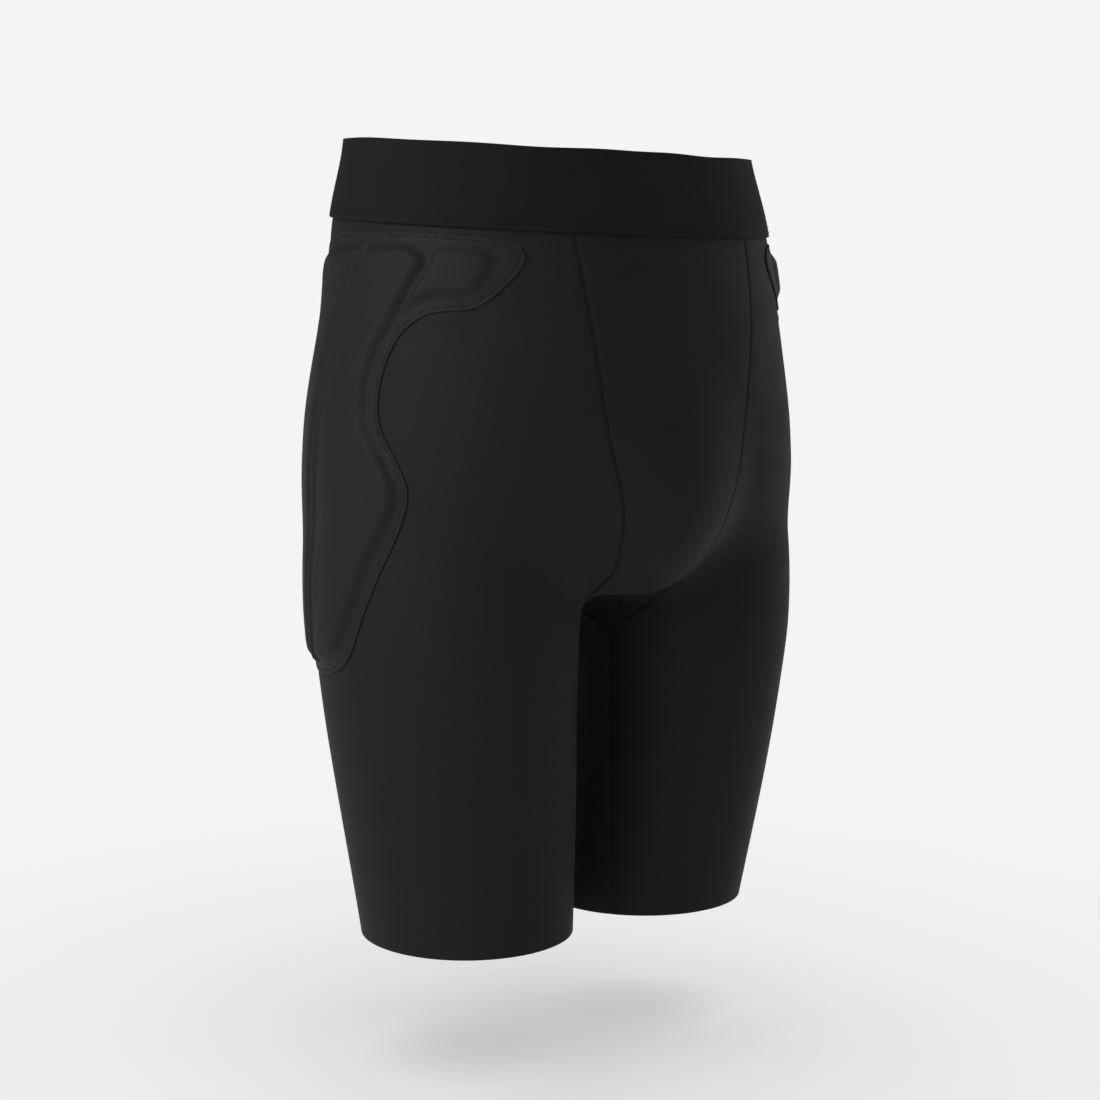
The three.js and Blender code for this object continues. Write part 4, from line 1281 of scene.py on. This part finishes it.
class SHORTS_OT_hems(bpy.types.Operator):
    """Builds the bonded tape inside each hem"""
    bl_idname = "shorts.hems"
    bl_label = "Hem tapes"

    def execute(self, context):
        fabric, _, finishes = groups(context)
        z = np.linspace(HEM_Z + fabric.hem_tape, HEM_Z + 0.3, 12)[:, None]
        margin = 1.2
        angle = np.linspace(INSEAM + margin, INSEAM + 360 - margin, LEG_COLUMNS + 1)[None]
        base = side_point(angle, z)
        sway = leg_drape(angle, z)
        normal = normal_at(base)
        outer = base + normal * (sway - 0.12)[..., None]
        inner = base + normal * (sway - 0.12 - fabric.tape)[..., None]
        for word, side in SIDES:
            points, faces = closed_layer(on_side(outer, side), on_side(inner, side))
            tape = put_mesh(f"{word}_hem_inner_tape", points, faces, grid_uv(outer))
            finish_piece(tape, tape_material(finishes), f"{word}_hem_tape")
            declare_sheet(outer)
        return {"FINISHED"}


class SHORTS_OT_seams(bpy.types.Operator):
    """Builds the flatlock stitching along every panel seam"""
    bl_idname = "shorts.seams"
    bl_label = "Seams"

    def execute(self, context):
        fabric, _, finishes = groups(context)
        material = thread_material(finishes)
        lift = fabric.shell - 0.1
        z = np.linspace(-BAND_HEIGHT - 1.0, CROTCH_Z + 2.0, 400)
        front, back = seam_angles(z)
        inseam_z = np.linspace(CROTCH_Z - 3.0, HEM_Z + 0.8, 120)
        low = WAIST_TILT * BAND_FOOT[1]
        paths = {
            "front_seam": dip(side_point(front, z)),
            "back_seam": dip(side_point(back, z)),
            "inseam": side_point(np.full(inseam_z.shape, INSEAM), inseam_z),
        }
        paths["front_seam"] = paths["front_seam"][paths["front_seam"][:, 2] < -BAND_HEIGHT - low - 0.5]
        paths["back_seam"] = paths["back_seam"][paths["back_seam"][:, 2] < -BAND_HEIGHT + low - 1.5]
        for word, side in SIDES:
            for seam, path in paths.items():
                stitched_piece(f"{word}_{seam}_threads", f"{word}_{seam}", on_side(path, side),
                               FLATLOCK, lift, fabric, material, spacing=FLATLOCK_PITCH)
        _, gusset, _ = strip_grid()
        for name, row in (("front_gusset_seam", gusset[0]), ("rear_gusset_seam", gusset[-1])):
            stitched_piece(f"{name}_threads", name, row[2:-2], FLATLOCK, lift, fabric, material,
                           spacing=FLATLOCK_PITCH)
        return {"FINISHED"}


class SHORTS_OT_hip_pads(bpy.types.Operator):
    """Builds the three foam pads, the cover and the stitching of each hip"""
    bl_idname = "shorts.hip_pads"
    bl_label = "Hip pads"

    def execute(self, context):
        fabric, pads, finishes = groups(context)
        foam = foam_material(finishes)
        cover = cover_material(finishes)
        points, faces = cover_points(hip_place(1.0), HIP_OUTLINE, hip_height, fabric, pads)
        low = fabric.shell + FLANGE_LIFT
        path = hip_place(1.0)(pulled_in(HIP_OUTLINE, STITCH_INSET))
        for word, side in SIDES:
            for where, outline in HIP_LOBES.items():
                share = pads.front_share if where == "front" else 1.0
                foam_piece(f"{word}_hip_foam_{where}", f"{word}_hip_pad_{where}", hip_place(side), outline,
                           (pads.hip_foam - 0.5) * share, low, foam)
            cover_piece(f"{word}_hip_cover", f"{word}_hip_pad_cover", on_side(points, side), faces, cover)
            stitched_piece(f"{word}_hip_cover_threads", f"{word}_hip_pad_stitching", on_side(path, side),
                           LOCKSTITCH, low + fabric.cover - STITCH_STEP, fabric, thread_material(finishes),
                           closed=True)
        return {"FINISHED"}


class SHORTS_OT_seat_pads(bpy.types.Operator):
    """Builds the tailbone pad, the two seat pads, their cover and its stitching"""
    bl_idname = "shorts.seat_pads"
    bl_label = "Seat and tailbone pads"

    def execute(self, context):
        fabric, pads, finishes = groups(context)
        foam = foam_material(finishes)
        low = fabric.shell + FLANGE_LIFT
        nodes = {"tailbone": "tailbone_pad", "left": "left_seat_pad", "right": "right_seat_pad"}
        for where, outline in SEAT_LOBES.items():
            name = "tailbone_foam" if where == "tailbone" else f"{where}_seat_foam"
            foam_piece(name, nodes[where], seat_place, outline, pads.seat_foam - 0.5, low, foam)
        points, faces = cover_points(seat_place, SEAT_OUTLINE, seat_height, fabric, pads)
        cover_piece("seat_cover", "seat_pad_cover", points, faces, cover_material(finishes))
        path = seat_place(pulled_in(SEAT_OUTLINE, STITCH_INSET))
        stitched_piece("seat_cover_threads", "seat_pad_stitching", path, LOCKSTITCH,
                       low + fabric.cover - STITCH_STEP, fabric, thread_material(finishes), closed=True)
        return {"FINISHED"}


FLOOR_DROP = 0.078                       # from the hems down to the floor, in metres
PAPER_LIGHT = 0.905                      # brightness of the floor and of the air behind it
PAPER_SUN = 0.50                         # share of it that the object can shade
AIR_LIGHT = 0.05                         # brightness of the air as it lights the object
AIM = Vector((0.0, 0.0, -0.245))
VIEW_TURN = math.radians(-40.0)
VIEW_RISE = math.radians(6.2)
VIEW_DISTANCE = 1.35


def towards(angle, rise):
    """Direction from the object to a place round it; angle 0 is in front and 90 at its left."""
    return Vector((math.sin(angle) * math.cos(rise), -math.cos(angle) * math.cos(rise), math.sin(rise)))


def soft_light(name, angle, rise, distance, size, power):
    """A large square light that looks at the object."""
    data = bpy.data.lights.new(name, "AREA")
    data.shape = "SQUARE"
    data.size = size
    data.energy = power
    lamp = bpy.data.objects.new(name, data)
    way = towards(math.radians(angle), math.radians(rise))
    lamp.location = AIM + way * distance
    lamp.rotation_euler = way.to_track_quat("Z", "Y").to_euler()
    lamp.light_linking.receiver_collection = garment()
    bpy.context.scene.collection.objects.link(lamp)


class SHORTS_OT_stage(bpy.types.Operator):
    """Builds the pale floor, the studio lights and the camera"""
    bl_idname = "shorts.stage"
    bl_label = "Stage"

    def execute(self, context):
        scene = context.scene
        height = HEM_Z * MM - FLOOR_DROP
        half = 30.0
        mesh = bpy.data.meshes.new("studio_floor")
        corners = [(x * half, y * half, height) for x, y in ((-1, -1), (1, -1), (1, 1), (-1, 1))]
        mesh.from_pydata(corners, [], [(0, 1, 2, 3)])
        floor = bpy.data.objects.new("studio_floor", mesh)
        paper = bpy.data.materials.new("studio_paper")
        paper.use_nodes = True
        shader = paper.node_tree.nodes["Principled BSDF"]
        shader.inputs["Base Color"].default_value = (0.80, 0.80, 0.80, 1.0)
        shader.inputs["Roughness"].default_value = 1.0
        shader.inputs["Specular IOR Level"].default_value = 0.0
        shader.inputs["Emission Color"].default_value = (1.0, 1.0, 1.0, 1.0)
        shader.inputs["Emission Strength"].default_value = PAPER_LIGHT - PAPER_SUN - 0.8 * AIR_LIGHT
        mesh.materials.append(paper)

        world = bpy.data.worlds.new("studio_air")
        world.use_nodes = True
        tree = world.node_tree
        seen = tree.nodes.new("ShaderNodeLightPath").outputs["Is Camera Ray"]
        strength = tree.nodes.new("ShaderNodeMapRange")
        strength.inputs["To Min"].default_value = AIR_LIGHT
        strength.inputs["To Max"].default_value = PAPER_LIGHT
        tree.links.new(seen, strength.inputs["Value"])
        tree.nodes["Background"].inputs["Color"].default_value = (1.0, 1.0, 1.0, 1.0)
        tree.links.new(strength.outputs["Result"], tree.nodes["Background"].inputs["Strength"])
        scene.world = world
        scene.view_settings.view_transform = "Standard"

        sun = bpy.data.lights.new("floor_light", "SUN")
        sun.energy = PAPER_SUN * math.pi / 0.8
        sun.angle = math.radians(112.0)
        above = bpy.data.objects.new("floor_light", sun)
        above.location = (0.0, 0.0, 2.0)
        papers = bpy.data.collections.new("stage")
        scene.collection.children.link(papers)
        papers.objects.link(floor)
        above.light_linking.receiver_collection = papers
        scene.collection.objects.link(above)

        soft_light("key_softbox", -88.0, 30.0, 1.9, 1.3, 32.0)
        soft_light("front_softbox", -22.0, 24.0, 2.1, 1.0, 3.8)
        soft_light("rim_softbox", 82.0, 22.0, 1.9, 0.9, 6.0)
        soft_light("top_softbox", -20.0, 84.0, 1.8, 1.3, 3.5)

        data = bpy.data.cameras.new("view")
        data.lens = 69.6
        data.sensor_width = 36.0
        data.shift_y = -0.0082
        data.clip_start = 0.05
        data.clip_end = 100.0
        camera = bpy.data.objects.new("view", data)
        way = towards(VIEW_TURN, VIEW_RISE)
        camera.location = AIM + way * VIEW_DISTANCE
        camera.rotation_euler = way.to_track_quat("Z", "Y").to_euler()
        scene.collection.objects.link(camera)
        scene.camera = camera
        return {"FINISHED"}


class SHORTS_PT_panel(bpy.types.Panel):
    """Lists the pieces and their sizes"""
    bl_idname = "SHORTS_PT_panel"
    bl_label = "Padded impact shorts"
    bl_space_type = "VIEW_3D"
    bl_region_type = "UI"
    bl_category = "Shorts"

    def draw(self, context):
        for group in groups(context):
            box = self.layout.box()
            for key in group.bl_rna.properties.keys():
                if key not in {"rna_type", "name"}:
                    box.prop(group, key)
        for operator in OPERATORS:
            self.layout.operator(operator.bl_idname)


SETTINGS = (FabricSizes, PadSizes, Finishes)
OPERATORS = (SHORTS_OT_stage, SHORTS_OT_shell, SHORTS_OT_waistband, SHORTS_OT_hems, SHORTS_OT_seams,
             SHORTS_OT_hip_pads, SHORTS_OT_seat_pads)


def register():
    """Adds the settings, the operators and the panel."""
    for item in (*SETTINGS, *OPERATORS, SHORTS_PT_panel):
        bpy.utils.register_class(item)
    bpy.types.Scene.shorts_fabric = bpy.props.PointerProperty(type=FabricSizes)
    bpy.types.Scene.shorts_pads = bpy.props.PointerProperty(type=PadSizes)
    bpy.types.Scene.shorts_finishes = bpy.props.PointerProperty(type=Finishes)


def unregister():
    """Takes them away again."""
    for name in ("shorts_fabric", "shorts_pads", "shorts_finishes"):
        delattr(bpy.types.Scene, name)
    for item in reversed((*SETTINGS, *OPERATORS, SHORTS_PT_panel)):
        bpy.utils.unregister_class(item)


def main():
    """Builds everything in order."""
    register()
    for operator in OPERATORS:
        call = getattr(bpy.ops.shorts, operator.bl_idname.split(".")[1])
        if call() != {"FINISHED"}:
            raise RuntimeError(f"{operator.bl_label} did not finish")


if __name__ == "__main__":
    main()
